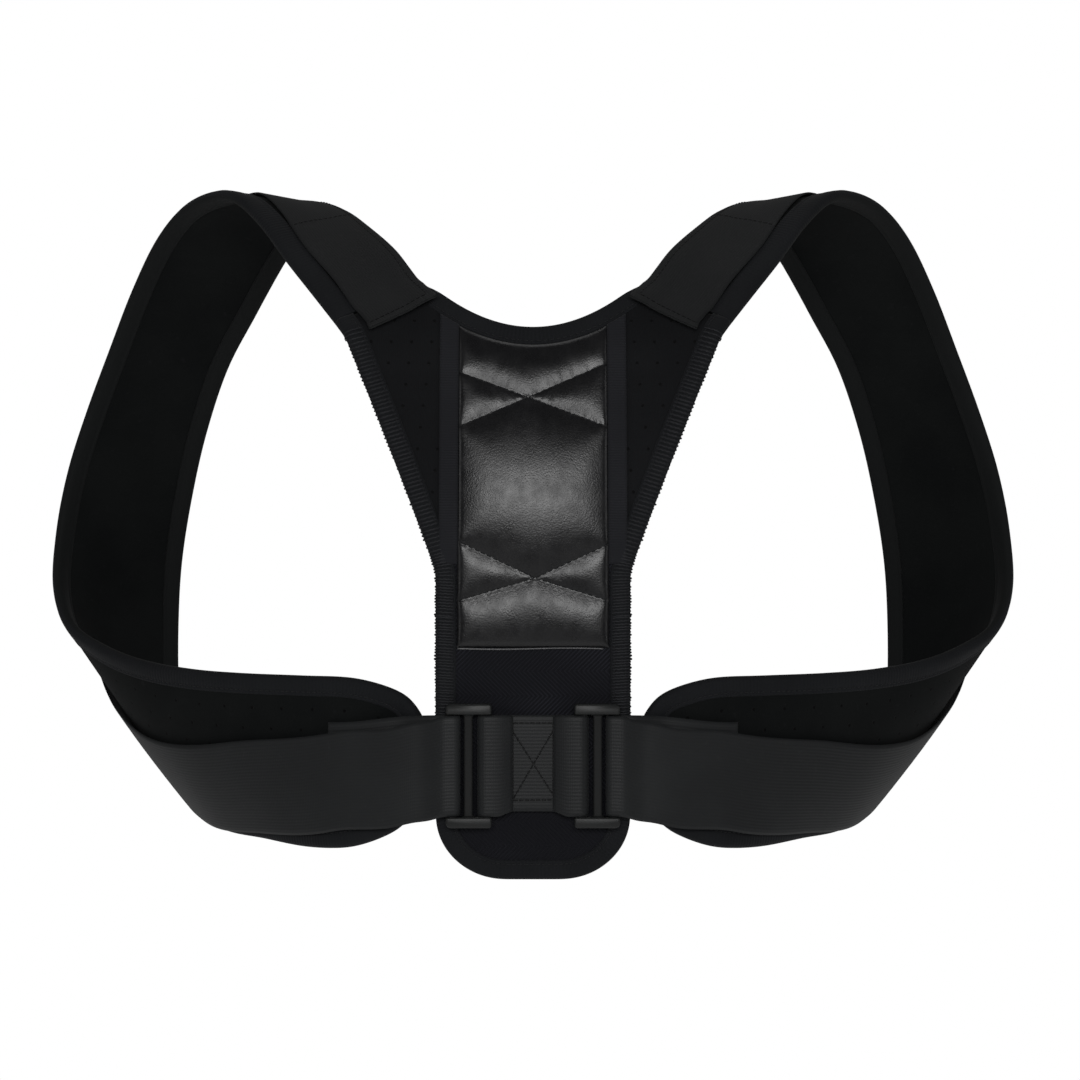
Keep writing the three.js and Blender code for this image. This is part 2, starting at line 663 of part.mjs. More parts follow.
// The waist strap, right-hand side: sewn to the pad's end, through the buckle, folded round its
// outer bar, and back over itself to a free end at the wearer's side.
function waistStrap() {
  const COLUMNS = 4;
  const FOLD_STEPS = 6;
  const layer = WEB_THICKNESS + CLEARANCE;
  const strapLift = (at) => WEB_THICKNESS * through(STRAP_ON_PAD.map((row) => row.lift), at);
  const onPad = (station, middle, lift) => (across) => {
    const half = WEB_WIDTH / padWidth(station) / 2;
    return padOffset(station, middle + lerp(-half, half, across), lift);
  };
  const overPad = (station) => {
    const at = station - STRAP_TABLE_FIRST;
    const middle = through(STRAP_ON_PAD.map((row) => row.middle), at);
    return onPad(station, middle, strapLift(at));
  };
  const upright = (x, y, centreZ) => (across) =>
    new THREE.Vector3(x, y, centreZ + lerp(WEB_WIDTH / 2, -WEB_WIDTH / 2, across));
  const leavesLift = strapLift(STRAP_STATIONS.leaves - STRAP_TABLE_FIRST);
  const sewnLift = PAD_HALF_THICKNESS + CLEARANCE + WEB_THICKNESS / 2;
  const padEnd = padPoint(LAST_STATION, 0.5);
  const padFace = padEnd.y - PAD_HALF_THICKNESS - BINDING_OUT - CLEARANCE - WEB_THICKNESS / 2;
  const barBack = -(STRAP_FLOOR + WEB_THICKNESS / 2);
  const bend = (BAR_FRONT - BAR_BACK) / 2 + 1.2 * CLEARANCE + WEB_THICKNESS / 2;
  const foldX = OUTER_BAR_INNER_X;
  const foldY = -(BAR_BACK + BAR_FRONT) / 2;
  const clearX = PANEL_HALF_WIDTH + 2 * BINDING_OUT;
  const rows = [
    onPad(STRAP_STATIONS.sewn, STRAP_SEWN_MIDDLE, sewnLift),
    onPad(STRAP_STATIONS.leaves, STRAP_SEWN_MIDDLE, leavesLift - layer),
    upright(padEnd.x + STRAP_LANDS, padFace + 2.9, STRAP_LEVEL - 1.5),
    upright(padEnd.x + STRAP_RESTS, padFace - 0.2, STRAP_LEVEL - 0.5),
    upright(clearX, barBack, STRAP_LEVEL),
  ];
  for (let i = 0; i <= FOLD_STEPS; i++) {
    const angle = Math.PI * (i / FOLD_STEPS);
    rows.push(upright(foldX - bend * Math.sin(angle), foldY + bend * Math.cos(angle), STRAP_LEVEL));
  }
  rows.push(
    upright(clearX - 5, -STRAP_FRONT, STRAP_LEVEL - 0.5),
    upright(clearX + 1, padFace - layer - 4.5, STRAP_LEVEL - 2.4),
    upright(padEnd.x + STRAP_RESTS, padFace - layer - 2, STRAP_LEVEL - 3.8),
    upright(padEnd.x + STRAP_LANDS, padFace - layer + 0.9, STRAP_LEVEL - 6.5),
  );
  const { free, leaves } = STRAP_STATIONS;
  for (let at = leaves; at > free; at -= 0.5) rows.push(overPad(at));
  rows.push(overPad(free));
  const sheet = rows.map((row) => Array.from({ length: COLUMNS + 1 }, (_, j) => row(j / COLUMNS)));
  return outwardFacing(slab([sheet], -WEB_THICKNESS / 2, WEB_THICKNESS / 2));
}

function roundedRectangle(path, x0, z0, x1, z1, radius) {
  path.moveTo(x0 + radius, z0);
  path.lineTo(x1 - radius, z0);
  path.absarc(x1 - radius, z0 + radius, radius, -Math.PI / 2, 0, false);
  path.lineTo(x1, z1 - radius);
  path.absarc(x1 - radius, z1 - radius, radius, 0, Math.PI / 2, false);
  path.lineTo(x0 + radius, z1);
  path.absarc(x0 + radius, z1 - radius, radius, Math.PI / 2, Math.PI, false);
  path.lineTo(x0, z0 + radius);
  path.absarc(x0 + radius, z0 + radius, radius, Math.PI, 1.5 * Math.PI, false);
  return path;
}

const wasm = await Module();
wasm.setup();

function solidOf(geometry) {
  const bare = geometry.clone();
  bare.deleteAttribute("normal");
  bare.deleteAttribute("uv");
  const merged = mergeVertices(bare, 1e-4);
  return new wasm.Manifold(
    new wasm.Mesh({
      numProp: 3,
      vertProperties: merged.getAttribute("position").array,
      triVerts: new Uint32Array(merged.index.array),
    }),
  );
}

function geometryOfSolid(solid) {
  const mesh = solid.getMesh();
  const geometry = new THREE.BufferGeometry();
  geometry.setAttribute("position", new THREE.BufferAttribute(mesh.vertProperties, 3));
  geometry.setIndex(new THREE.BufferAttribute(mesh.triVerts, 1));
  const loose = geometry.toNonIndexed();
  loose.computeVertexNormals();
  return loose;
}

// A flat plate drawn in X and Z and given depth along -Y, from back to front.
function plate(shape, back, front, bevel) {
  const geometry = new THREE.ExtrudeGeometry(shape, {
    depth: front - back - 2 * bevel,
    bevelEnabled: bevel > 0,
    bevelThickness: bevel,
    bevelSize: bevel,
    bevelOffset: -bevel,
    bevelSegments: 1,
    curveSegments: 2,
  });
  return geometry.rotateX(Math.PI / 2).translate(0, -back - bevel, 0);
}

// Buckle, right-hand side: two deep rails joined by three bars, with a slot on each side of the
// middle bar.
function buckle() {
  const CORNER = 2.4;
  const SLOT_CORNER = 0.5;
  const half = WEB_WIDTH / 2 + BUCKLE_SIDE_PLAY;
  const low = STRAP_LEVEL - half;
  const high = STRAP_LEVEL + half;
  const middleX = BUCKLE_INNER_X + BUCKLE_INNER_BAR + BUCKLE_INNER_SLOT;
  const body = new THREE.Shape();
  roundedRectangle(
    body,
    BUCKLE_INNER_X,
    low - BUCKLE_RAIL_HEIGHT,
    BUCKLE_OUTER_X,
    high + BUCKLE_RAIL_HEIGHT,
    CORNER,
  );
  const slots = [
    [BUCKLE_INNER_X + BUCKLE_INNER_BAR, middleX],
    [middleX + BUCKLE_MIDDLE_BAR, OUTER_BAR_INNER_X],
  ];
  for (const [x0, x1] of slots)
    body.holes.push(roundedRectangle(new THREE.Path(), x0, low, x1, high, SLOT_CORNER));
  let solid = solidOf(plate(body, BAR_BACK, BAR_FRONT, 0));
  const railBack = BAR_BACK - (BUCKLE_RAIL_DEPTH - BUCKLE_BAR_THICKNESS) / 3;
  const rails = [
    [low - BUCKLE_RAIL_HEIGHT, low],
    [high, high + BUCKLE_RAIL_HEIGHT],
  ];
  for (const [z0, z1] of rails) {
    const rail = new THREE.Shape();
    roundedRectangle(rail, BUCKLE_INNER_X, z0, BUCKLE_OUTER_X, z1, CORNER);
    solid = solid.add(solidOf(plate(rail, railBack, railBack + BUCKLE_RAIL_DEPTH, 1)));
  }
  return geometryOfSolid(solid);
}

// The short webbing sewn across the panel, with a loop round each buckle's inner bar.
function centreWebbing() {
  const eyeInner = BUCKLE_INNER_X - CLEARANCE;
  const eyeOuter = BUCKLE_INNER_X + BUCKLE_INNER_BAR + CLEARANCE;
  const back = PANEL_FACE + CLEARANCE;
  const eyeBack = back + WEB_THICKNESS;
  const eyeFront = BAR_FRONT + CLEARANCE;
  const front = eyeFront + WEB_THICKNESS;
  const sewnHalf = eyeInner - (front - back) - WEB_THICKNESS;
  const end = eyeOuter + WEB_THICKNESS;
  const corner = WEB_THICKNESS + CLEARANCE;
  const half = [
    [end - corner, back],
    [end, back + corner],
    [end, front - corner],
    [end - corner, front],
    [eyeInner - WEB_THICKNESS / 2, front],
    [sewnHalf, back + 2 * WEB_THICKNESS],
  ];
  const outline = [...half.map(([x, depth]) => [-x, depth]), ...half.reverse()];
  const profile = new THREE.Shape(outline.map(([x, depth]) => new THREE.Vector2(x, -depth)));
  for (const side of [1, -1]) {
    const eye = [
      [eyeInner, eyeBack],
      [eyeOuter, eyeBack],
      [eyeOuter, eyeFront],
      [eyeInner, eyeFront],
    ];
    profile.holes.push(new THREE.Path(eye.map(([x, depth]) => new THREE.Vector2(side * x, -depth))));
  }
  const geometry = new THREE.ExtrudeGeometry(profile, { depth: WEB_WIDTH, bevelEnabled: false });
  return geometry.translate(0, 0, STRAP_LEVEL - WEB_WIDTH / 2);
}

function fabric(color, roughness) {
  return new THREE.MeshStandardMaterial({ color, roughness, metalness: 0 });
}

const MATERIALS = {
  pad: fabric(0x0d0f11, 0.9),
  binding: fabric(0x14161a, 0.85),
  leather: fabric(0x1c1c1f, 0.35),
  tape: fabric(0x1a1b20, 0.85),
  webbing: fabric(0x26282a, 0.75),
  plastic: fabric(0x1c1e1c, 0.4),
};

const corrector = new THREE.Group();

function place(name, geometry, material) {
  const mesh = new THREE.Mesh(geometry, MATERIALS[material]);
  mesh.name = name;
  corrector.add(mesh);
}

function placePair(name, geometry, material) {
  place(`${name}_right`, geometry, material);
  place(`${name}_left`, mirroredGeometry(geometry), material);
}

place("back_panel", backPanel(), "pad");
place("panel_binding", panelBinding(), "binding");
place("neckline_binding", necklineBinding(), "binding");
place("quilted_cushion", quiltedCushion(), "leather");
place("centre_webbing", centreWebbing(), "webbing");
placePair("panel_tape", panelTape(), "tape");
placePair("shoulder_pad", shoulderPad(), "pad");
placePair("shoulder_binding", padBinding(), "binding");
placePair("shoulder_cover", shoulderCover(), "webbing");
placePair("waist_strap", waistStrap(), "webbing");
placePair("buckle", buckle(), "plastic");

export default corrector;
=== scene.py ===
import bmesh
import bpy
import numpy as np
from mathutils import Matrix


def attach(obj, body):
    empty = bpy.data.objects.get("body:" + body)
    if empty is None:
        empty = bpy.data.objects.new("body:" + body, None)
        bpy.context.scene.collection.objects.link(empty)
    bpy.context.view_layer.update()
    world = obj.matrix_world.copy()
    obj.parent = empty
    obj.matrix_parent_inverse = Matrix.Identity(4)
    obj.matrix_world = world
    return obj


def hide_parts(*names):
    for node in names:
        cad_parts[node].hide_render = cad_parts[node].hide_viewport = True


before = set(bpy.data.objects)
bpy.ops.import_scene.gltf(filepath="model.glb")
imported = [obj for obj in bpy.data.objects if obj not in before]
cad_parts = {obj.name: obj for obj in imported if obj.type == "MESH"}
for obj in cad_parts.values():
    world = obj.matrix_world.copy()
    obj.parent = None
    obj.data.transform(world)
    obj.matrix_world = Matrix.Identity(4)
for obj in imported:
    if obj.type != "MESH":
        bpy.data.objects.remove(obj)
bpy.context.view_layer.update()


# Back panel: a sheet of foam laminated between two cloths, cut in one piece with the yoke that
# spreads to the shoulders. Its middle is a herringbone ribbon cloth, and the yoke's corners are
# a perforated knit. It carries everything else.
PANEL_HALF, YOKE_FOOT, NECK_TOP, STRAP_LEVEL = 0.0475, -0.038, 0.1022, -0.1345
YOKE_RISE = NECK_TOP - YOKE_FOOT
CORNER_OUT, CORNER_UP = 0.0455, 0.118
NECK_DIP, TAIL_TOP, TAIL_FALL, TAIL_FLAT = 0.0176, -0.16, 0.031, 0.014
YOKE_LEAN, TAIL_LEAN, CORNER_BACK, MIDDLE_DEPTH = 0.0258, 0.004, 0.0137, 0.002


def back_surface(x, z):
    """Middle surface over x and z. y leans forward with the square of the height over the yoke's
    foot and of the depth under the waist straps, and stands back over the shoulder blades."""
    up = np.maximum(0, (z - YOKE_FOOT) / YOKE_RISE)
    down = np.maximum(0, (STRAP_LEVEL - z) / (STRAP_LEVEL - TAIL_TOP + TAIL_FALL))
    back = CORNER_BACK * up * (x / (PANEL_HALF + CORNER_OUT)) ** 2 + MIDDLE_DEPTH
    y = YOKE_LEAN * up**2 + TAIL_LEAN * down**2 - back
    return np.stack(np.broadcast_arrays(x, y, z), -1)


def neckline(x):
    """Height of the neckline over x: a parabola between the neck corners."""
    return NECK_TOP - NECK_DIP * (1 - (x / PANEL_HALF) ** 2)


def tail(x):
    """Height of the tail's edge over x: a flat middle between two elliptic corners."""
    corner = np.clip((np.abs(x) - TAIL_FLAT) / (PANEL_HALF - TAIL_FLAT), 0, 1)
    return TAIL_TOP - TAIL_FALL * np.sqrt(1 - corner**2)


def yoke_edge(share):
    """The yoke's arm-side edge from its foot (0) to its corner (1): x goes with share**1.05."""
    x = PANEL_HALF + CORNER_OUT * share**1.05
    return back_surface(x, YOKE_FOOT + CORNER_UP * share)


def through(values, at):
    """Catmull-Rom curve through rows of values one apart, straight past its first row."""
    values = np.concatenate([[2 * values[0] - values[1]], values, [2 * values[-1] - values[-2]]])
    at = np.asarray(at, float)
    first = np.clip(np.floor(at), 0, len(values) - 4).astype(int)
    t = at - first
    a, b, c, d = (values[first + k] for k in range(4))
    if values.ndim > 1:
        t = t[..., None]
    bend = 2 * a - 5 * b + 4 * c - d
    twist = -a + 3 * b - 3 * c + d
    curve = b + ((c - a) * t + bend * t**2 + twist * t**3) / 2
    return np.where(t < 0, b + (c - a) * t / 2, curve)


# Each row is a station of a padded loop: the arm edge's x, y and z and the body edge's x, y and
# z, as shares of the loop's span, depth and rise, and the crown as a share of the pad's width.
LOOP_STATIONS = np.array([
    (0.24, 0.066, 0.751, 0.047, 0.159, 0.819, 0.01),
    (0.298, 0.124, 0.804, 0.107, 0.232, 0.874, 0.02),
    (0.366, 0.195, 0.866, 0.178, 0.317, 0.919, 0.03),
    (0.438, 0.276, 0.936, 0.239, 0.417, 0.951, 0.03),
    (0.504, 0.357, 0.983, 0.3, 0.513, 0.968, 0.025),
    (0.57, 0.452, 0.997, 0.349, 0.6, 0.952, 0.03),
    (0.655, 0.556, 0.979, 0.39, 0.685, 0.923, 0.04),
    (0.733, 0.656, 0.926, 0.437, 0.765, 0.88, 0.03),
    (0.805, 0.743, 0.838, 0.506, 0.842, 0.801, 0.03),
    (0.87, 0.805, 0.733, 0.583, 0.904, 0.705, 0.03),
    (0.932, 0.837, 0.621, 0.643, 0.955, 0.587, 0.03),
    (0.98, 0.837, 0.511, 0.684, 0.986, 0.468, 0.04),
    (1.003, 0.792, 0.401, 0.713, 0.99, 0.339, 0.05),
    (0.998, 0.702, 0.298, 0.72, 0.961, 0.215, 0.06),
    (0.949, 0.593, 0.226, 0.712, 0.897, 0.085, 0.09),
    (0.855, 0.481, 0.188, 0.688, 0.79, -0.023, 0.09),
    (0.742, 0.379, 0.163, 0.631, 0.633, -0.096, 0.08),
    (0.614, 0.281, 0.15, 0.541, 0.441, -0.131, 0.07),
    (0.475, 0.19, 0.145, 0.425, 0.284, -0.139, 0.05),
    (0.33, 0.119, 0.143, 0.31, 0.163, -0.146, 0.03),
    (0.199, 0.063, 0.14, 0.207, 0.072, -0.14, 0.01),
    (0.0982, 0.0341, 0.1198, 0.1164, 0.039, -0.1158, 0),
    (0.0554, 0.0215, 0.0936, 0.0706, 0.0258, -0.0886, 0),
    (0.0332, 0.015, 0.0594, 0.0425, 0.0174, -0.0584, 0),
    (0.0272, 0.013, 0.0191, 0.0313, 0.0143, -0.0251, 0),
])
LAST_STATION = len(LOOP_STATIONS)
LOOP_SIZE = np.array([0.2135, 0.194, 0.296])
LOOP_START = np.array([PANEL_HALF, 0, STRAP_LEVEL])
ARM_EDGE = np.vstack([yoke_edge(1), LOOP_START + LOOP_STATIONS[:, 0:3] * LOOP_SIZE])
NECK_CORNER = back_surface(PANEL_HALF, NECK_TOP)
BODY_EDGE = np.vstack([NECK_CORNER, LOOP_START + LOOP_STATIONS[:, 3:6] * LOOP_SIZE])
CROWNS = np.concatenate([[0], LOOP_STATIONS[:, 6]])
TINY = 0.01


def unit(vectors):
    return vectors / np.maximum(np.linalg.norm(vectors, axis=-1, keepdims=True), 1e-12)


def pad_surface(station, across):
    """Right-hand loop's middle surface: a straight line from the arm edge (0) to the body edge
    (1) at each station, bowed outwards by 4 v (1 - v) times the crown times its length."""
    station, across = np.broadcast_arrays(np.asarray(station, float), across)
    arm, body = through(ARM_EDGE, station), through(BODY_EDGE, station)
    ahead = through(ARM_EDGE, station + TINY) + through(BODY_EDGE, station + TINY)
    behind = through(ARM_EDGE, station - TINY) + through(BODY_EDGE, station - TINY)
    outwards = unit(np.cross(ahead - behind, body - arm))
    width = np.linalg.norm(body - arm, axis=-1)
    bow = 4 * across * (1 - across) * through(CROWNS, station) * width
    return arm + (body - arm) * across[..., None] + outwards * bow[..., None]


def pad_normal(station, across):
    """Outward normal: the cross product of the surface's two central differences."""
    along = pad_surface(station + TINY, across) - pad_surface(station - TINY, across)
    over = pad_surface(station, across + TINY) - pad_surface(station, across - TINY)
    return unit(np.cross(along, over))


def pad_width(station):
    gap = through(BODY_EDGE, station) - through(ARM_EDGE, station)
    return np.linalg.norm(gap, axis=-1)


def new_piece(name, points, faces, uv=None, smooth=True):
    """A mesh object from arrays. uv holds one pair for each point."""
    mesh = bpy.data.meshes.new(name)
    if isinstance(faces, np.ndarray):
        faces = faces.tolist()
    mesh.from_pydata(np.asarray(points).tolist(), [], faces)
    if uv is not None:
        corners = np.zeros(len(mesh.loops), int)
        mesh.loops.foreach_get("vertex_index", corners)
        layer = mesh.uv_layers.new(name="cloth")
        layer.data.foreach_set("uv", np.asarray(uv, float)[corners].ravel())
    mesh.polygons.foreach_set("use_smooth", np.full(len(mesh.polygons), smooth))
    mesh.update()
    piece = bpy.data.objects.new(name, mesh)
    bpy.context.scene.collection.objects.link(piece)
    return piece


def quads_of(rows, columns, first=0):
    """Quads of a rows by columns grid of points, counted from first."""
    index = first + np.arange(rows * columns).reshape(rows, columns)
    a, b, c, d = index[:-1, :-1], index[1:, :-1], index[1:, 1:], index[:-1, 1:]
    return np.stack([a, b, c, d], -1).reshape(-1, 4)


def closed_sheet(name, patches, above, below):
    """A closed sheet. Each patch is a grid of middle-surface points with its grid of uv. Patches
    are joined where their points meet, and every point is moved along the averaged normal by
    above and by -below, which are functions of the joined points' distance to the open edge."""
    points = np.concatenate([p.reshape(-1, 3) for p, _ in patches])
    uv = np.concatenate([u.reshape(-1, 2) for _, u in patches])
    starts = np.cumsum([0] + [p.shape[0] * p.shape[1] for p, _ in patches])
    faces = np.concatenate(
        [quads_of(*p.shape[:2], first) for (p, _), first in zip(patches, starts)]
    )
    _, first, merged = np.unique(
        np.round(points * 1e6).astype(int), axis=0, return_index=True, return_inverse=True
    )
    points, uv, faces = points[first], uv[first], merged.ravel()[faces]
    normals = np.zeros_like(points)
    a, b, c, d = (points[faces[:, k]] for k in range(4))
    face_normals = np.cross(c - a, d - b)
    for k in range(4):
        np.add.at(normals, faces[:, k], face_normals)
    normals = unit(normals)
    edges = np.concatenate([faces[:, [k, (k + 1) % 4]] for k in range(4)])
    count = len(points)
    keys, back = edges[:, 0] * count + edges[:, 1], edges[:, 1] * count + edges[:, 0]
    rim = edges[~np.isin(keys, back)]
    rim_points = points[np.unique(rim)]
    distance = np.concatenate([
        np.sqrt(((part[:, None] - rim_points[None]) ** 2).sum(-1).min(1))
        for part in np.array_split(points, max(1, count // 500))
    ])
    top = points + normals * above(distance, uv)[:, None]
    bottom = points - normals * below(distance, uv)[:, None]
    walls = np.stack([rim[:, 1], rim[:, 0], rim[:, 0] + count, rim[:, 1] + count], -1)
    solid = np.concatenate([faces, faces[:, ::-1] + count, walls])
    return new_piece(name, np.vstack([top, bottom]), solid, np.vstack([uv, uv]))


def rounded_rim(thickness, radius, least=0.35):
    """Half thickness against distance to the edge: a quarter round that starts at a share."""
    def height(distance, _):
        share = 1 - np.clip(distance / radius, 0, 1)
        return thickness * (least + (1 - least) * np.sqrt(1 - share**2))
    return height


def mirrored_piece(piece, name):
    """The same piece on the other side of the spine line, with its faces turned back out."""
    made = piece.copy()
    made.data = piece.data.copy()
    made.name = made.data.name = name
    points = np.zeros(len(made.data.vertices) * 3)
    made.data.vertices.foreach_get("co", points)
    points[0::3] *= -1
    made.data.vertices.foreach_set("co", points)
    made.data.flip_normals()
    made.data.update()
    bpy.context.scene.collection.objects.link(made)
    return made


def pair(piece):
    """A right-hand piece and its mirror image, each with the side that it is on."""
    return (piece, "right"), (mirrored_piece(piece, piece.name.replace("right", "left")), "left")


def finished(piece, material, slot, *nodes):
    """Gives a piece its material and its body, and hides the nodes it stands for. slot is not used.
    """
    piece.data.materials.clear()
    piece.data.materials.append(material)
    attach(piece, "root")
    if nodes:
        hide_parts(*nodes)
    return piece


class Graph:
    """Short ways to add nodes to one node tree."""

    def __init__(self, tree):
        self.tree = tree

    def add(self, kind, inputs=None, **settings):
        made = self.tree.nodes.new(kind)
        for key, value in settings.items():
            setattr(made, key, value)
        for key, value in (inputs or {}).items():
            socket = made.inputs[key]
            if isinstance(value, bpy.types.NodeSocket):
                self.tree.links.new(value, socket)
            else:
                socket.default_value = value
        return made

    def link(self, value, socket):
        self.tree.links.new(value, socket)

    def math(self, operation, *values):
        return self.add("ShaderNodeMath", dict(enumerate(values)), operation=operation).outputs[0]

    def ramp(self, value, low, high, to_low=0.0, to_high=1.0):
        """A smooth step between two values."""
        inputs = {
            "Value": value, "From Min": low, "From Max": high, "To Min": to_low, "To Max": to_high
        }
        made = self.add("ShaderNodeMapRange", inputs, interpolation_type="SMOOTHSTEP")
        return made.outputs["Result"]

    def mix(self, share, first, second):
        inputs = {0: share, 6: first, 7: second}
        return self.add("ShaderNodeMix", inputs, data_type="RGBA").outputs[2]

    def noise(self, vector, scale, detail, roughness=0.5):
        inputs = {"Vector": vector, "Scale": scale, "Detail": detail, "Roughness": roughness}
        return self.add("ShaderNodeTexNoise", inputs).outputs["Fac"]

    def axes(self, vector):
        """The first two parts of a vector."""
        return self.add("ShaderNodeSeparateXYZ", {0: vector}).outputs[:2]

    def wave(self, value, pitch):
        """The sine of a value that turns once in each pitch."""
        turns = self.math("DIVIDE", value, pitch)
        return self.math("SINE", self.math("MULTIPLY", turns, 2 * np.pi))

    def group(self, tree, vector, numbers=None):
        """The outputs of a node group over a vector."""
        inputs = {"Vector": vector, **(numbers or {})}
        return self.add("ShaderNodeGroup", inputs, node_tree=tree).outputs


def effect(name, numbers, *outputs):
    """A new node group over a vector, with the numbers that it takes and the values that it
    gives. Returns its graph, its input sockets and its output sockets."""
    tree = bpy.data.node_groups.new(name, "ShaderNodeTree")
    tree.interface.new_socket(name="Vector", in_out="INPUT", socket_type="NodeSocketVector")
    for label, value in numbers.items():
        socket = tree.interface.new_socket(
            name=label, in_out="INPUT", socket_type="NodeSocketFloat"
        )
        socket.default_value = value
    for label in outputs:
        tree.interface.new_socket(name=label, in_out="OUTPUT", socket_type="NodeSocketFloat")
    graph = Graph(tree)
    return graph, graph.add("NodeGroupInput").outputs, graph.add("NodeGroupOutput").inputs


def soft_variation():
    """Uneven dye, rubbing and lint: two noises over the surface, one broad and one fine."""
    numbers = {"Broad Scale": 18.0, "Fine Scale": 260.0}
    graph, given, out = effect("soft variation", numbers, "Shade", "Lint")
    broad = graph.noise(given["Vector"], given["Broad Scale"], 3.0, 0.55)
    fine = graph.noise(given["Vector"], given["Fine Scale"], 2.0, 0.6)
    graph.link(graph.ramp(broad, 0.35, 0.68), out["Shade"])
    graph.link(graph.ramp(fine, 0.62, 0.8), out["Lint"])
    return graph.tree


def knit_loops():
    """Rows of small knit loops: a V-shaped wave across the wales over a wave along them."""
    graph, given, out = effect("knit loops", {"Wale": 0.0009, "Course": 0.0007}, "Height")
    u, v = graph.axes(given["Vector"])
    turns = graph.math("DIVIDE", u, given["Wale"])
    wale = graph.math("ABSOLUTE", graph.math("SINE", graph.math("MULTIPLY", turns, np.pi)))
    course = graph.math("DIVIDE", v, given["Course"])
    lean = graph.math("ADD", course, graph.math("MULTIPLY", wale, 0.5))
    rows = graph.math("MULTIPLY", graph.wave(lean, 1.0), 0.35)
    graph.link(graph.math("ADD", rows, wale), out["Height"])
    return graph.tree


def herringbone():
    """Slanting ribs that turn back at every row: a sine of u plus the folded distance in v."""
    numbers = {"Rib": 0.0023, "Row": 0.0125, "Slope": 1.0}
    graph, given, out = effect("herringbone", numbers, "Height")
    u, v = graph.axes(given["Vector"])
    folded = graph.math("PINGPONG", v, given["Row"])
    run = graph.math("ADD", u, graph.math("MULTIPLY", folded, given["Slope"]))
    graph.link(graph.ramp(graph.wave(run, given["Rib"]), -0.6, 0.8), out["Height"])
    return graph.tree


def perforations():
    """Small round holes on a leaning grid: the distance to the nearest grid point, cut at the
    hole's radius."""
    numbers = {"Pitch U": 0.01, "Pitch V": 0.0107, "Row Shift": -0.001, "Radius": 0.00075}
    graph, given, out = effect("perforations", numbers, "Hole")
    u, v = graph.axes(given["Vector"])
    row = graph.math("FLOOR", graph.math("DIVIDE", v, given["Pitch V"]))
    u = graph.math("ADD", u, graph.math("MULTIPLY", row, given["Row Shift"]))
    squares = []
    for value, pitch in ((u, given["Pitch U"]), (v, given["Pitch V"])):
        share = graph.math("FRACT", graph.math("DIVIDE", value, pitch))
        away = graph.math("MULTIPLY", graph.math("SUBTRACT", share, 0.5), pitch)
        squares.append(graph.math("POWER", away, 2.0))
    distance = graph.math("SQRT", graph.math("ADD", *squares))
    share = graph.math("DIVIDE", distance, given["Radius"])
    graph.link(graph.ramp(share, 0.75, 1.25, 1.0, 0.0), out["Hole"])
    return graph.tree


SOFT_VARIATION, KNIT = soft_variation(), knit_loops()
HERRINGBONE, PERFORATIONS = herringbone(), perforations()
# Painted shade: near-black colour of the perforations, for the shade inside the holes.
HOLE_PAINTED_SHADE = (0.0012, 0.0012, 0.0014, 1)


class Finish(Graph):
    """A new material: its shader's inputs, its coordinates and the uneven dye over it."""

    def __init__(self, name, roughness, specular=0.25, sheen=0.0):
        self.material = bpy.data.materials.new(name)
        self.material.use_nodes = True
        super().__init__(self.material.node_tree)
        self.shader = self.tree.nodes["Principled BSDF"].inputs
        self.shader["Roughness"].default_value = roughness
        self.shader["Specular IOR Level"].default_value = specular
        self.shader["Sheen Weight"].default_value = sheen
        self.shader["Sheen Roughness"].default_value = 0.5
        coordinates = self.add("ShaderNodeTexCoord").outputs
        self.uv, self.place = coordinates["UV"], coordinates["Object"]
        self.varied = self.group(SOFT_VARIATION, self.place)

    def dyed(self, dark, light):
        return self.mix(self.varied["Shade"], dark, light)

    def shown(self, colour, *layers):
        """Links the colour, stacks bumps, each given as height, strength and depth in metres,
        and returns the material."""
        self.link(colour, self.shader["Base Color"])
        under = {}
        for height, strength, depth in layers:
            inputs = {"Height": height, "Strength": strength, "Distance": depth, **under}
            under = {"Normal": self.add("ShaderNodeBump", inputs).outputs[0]}
        self.link(under["Normal"], self.shader["Normal"])
        return self.material


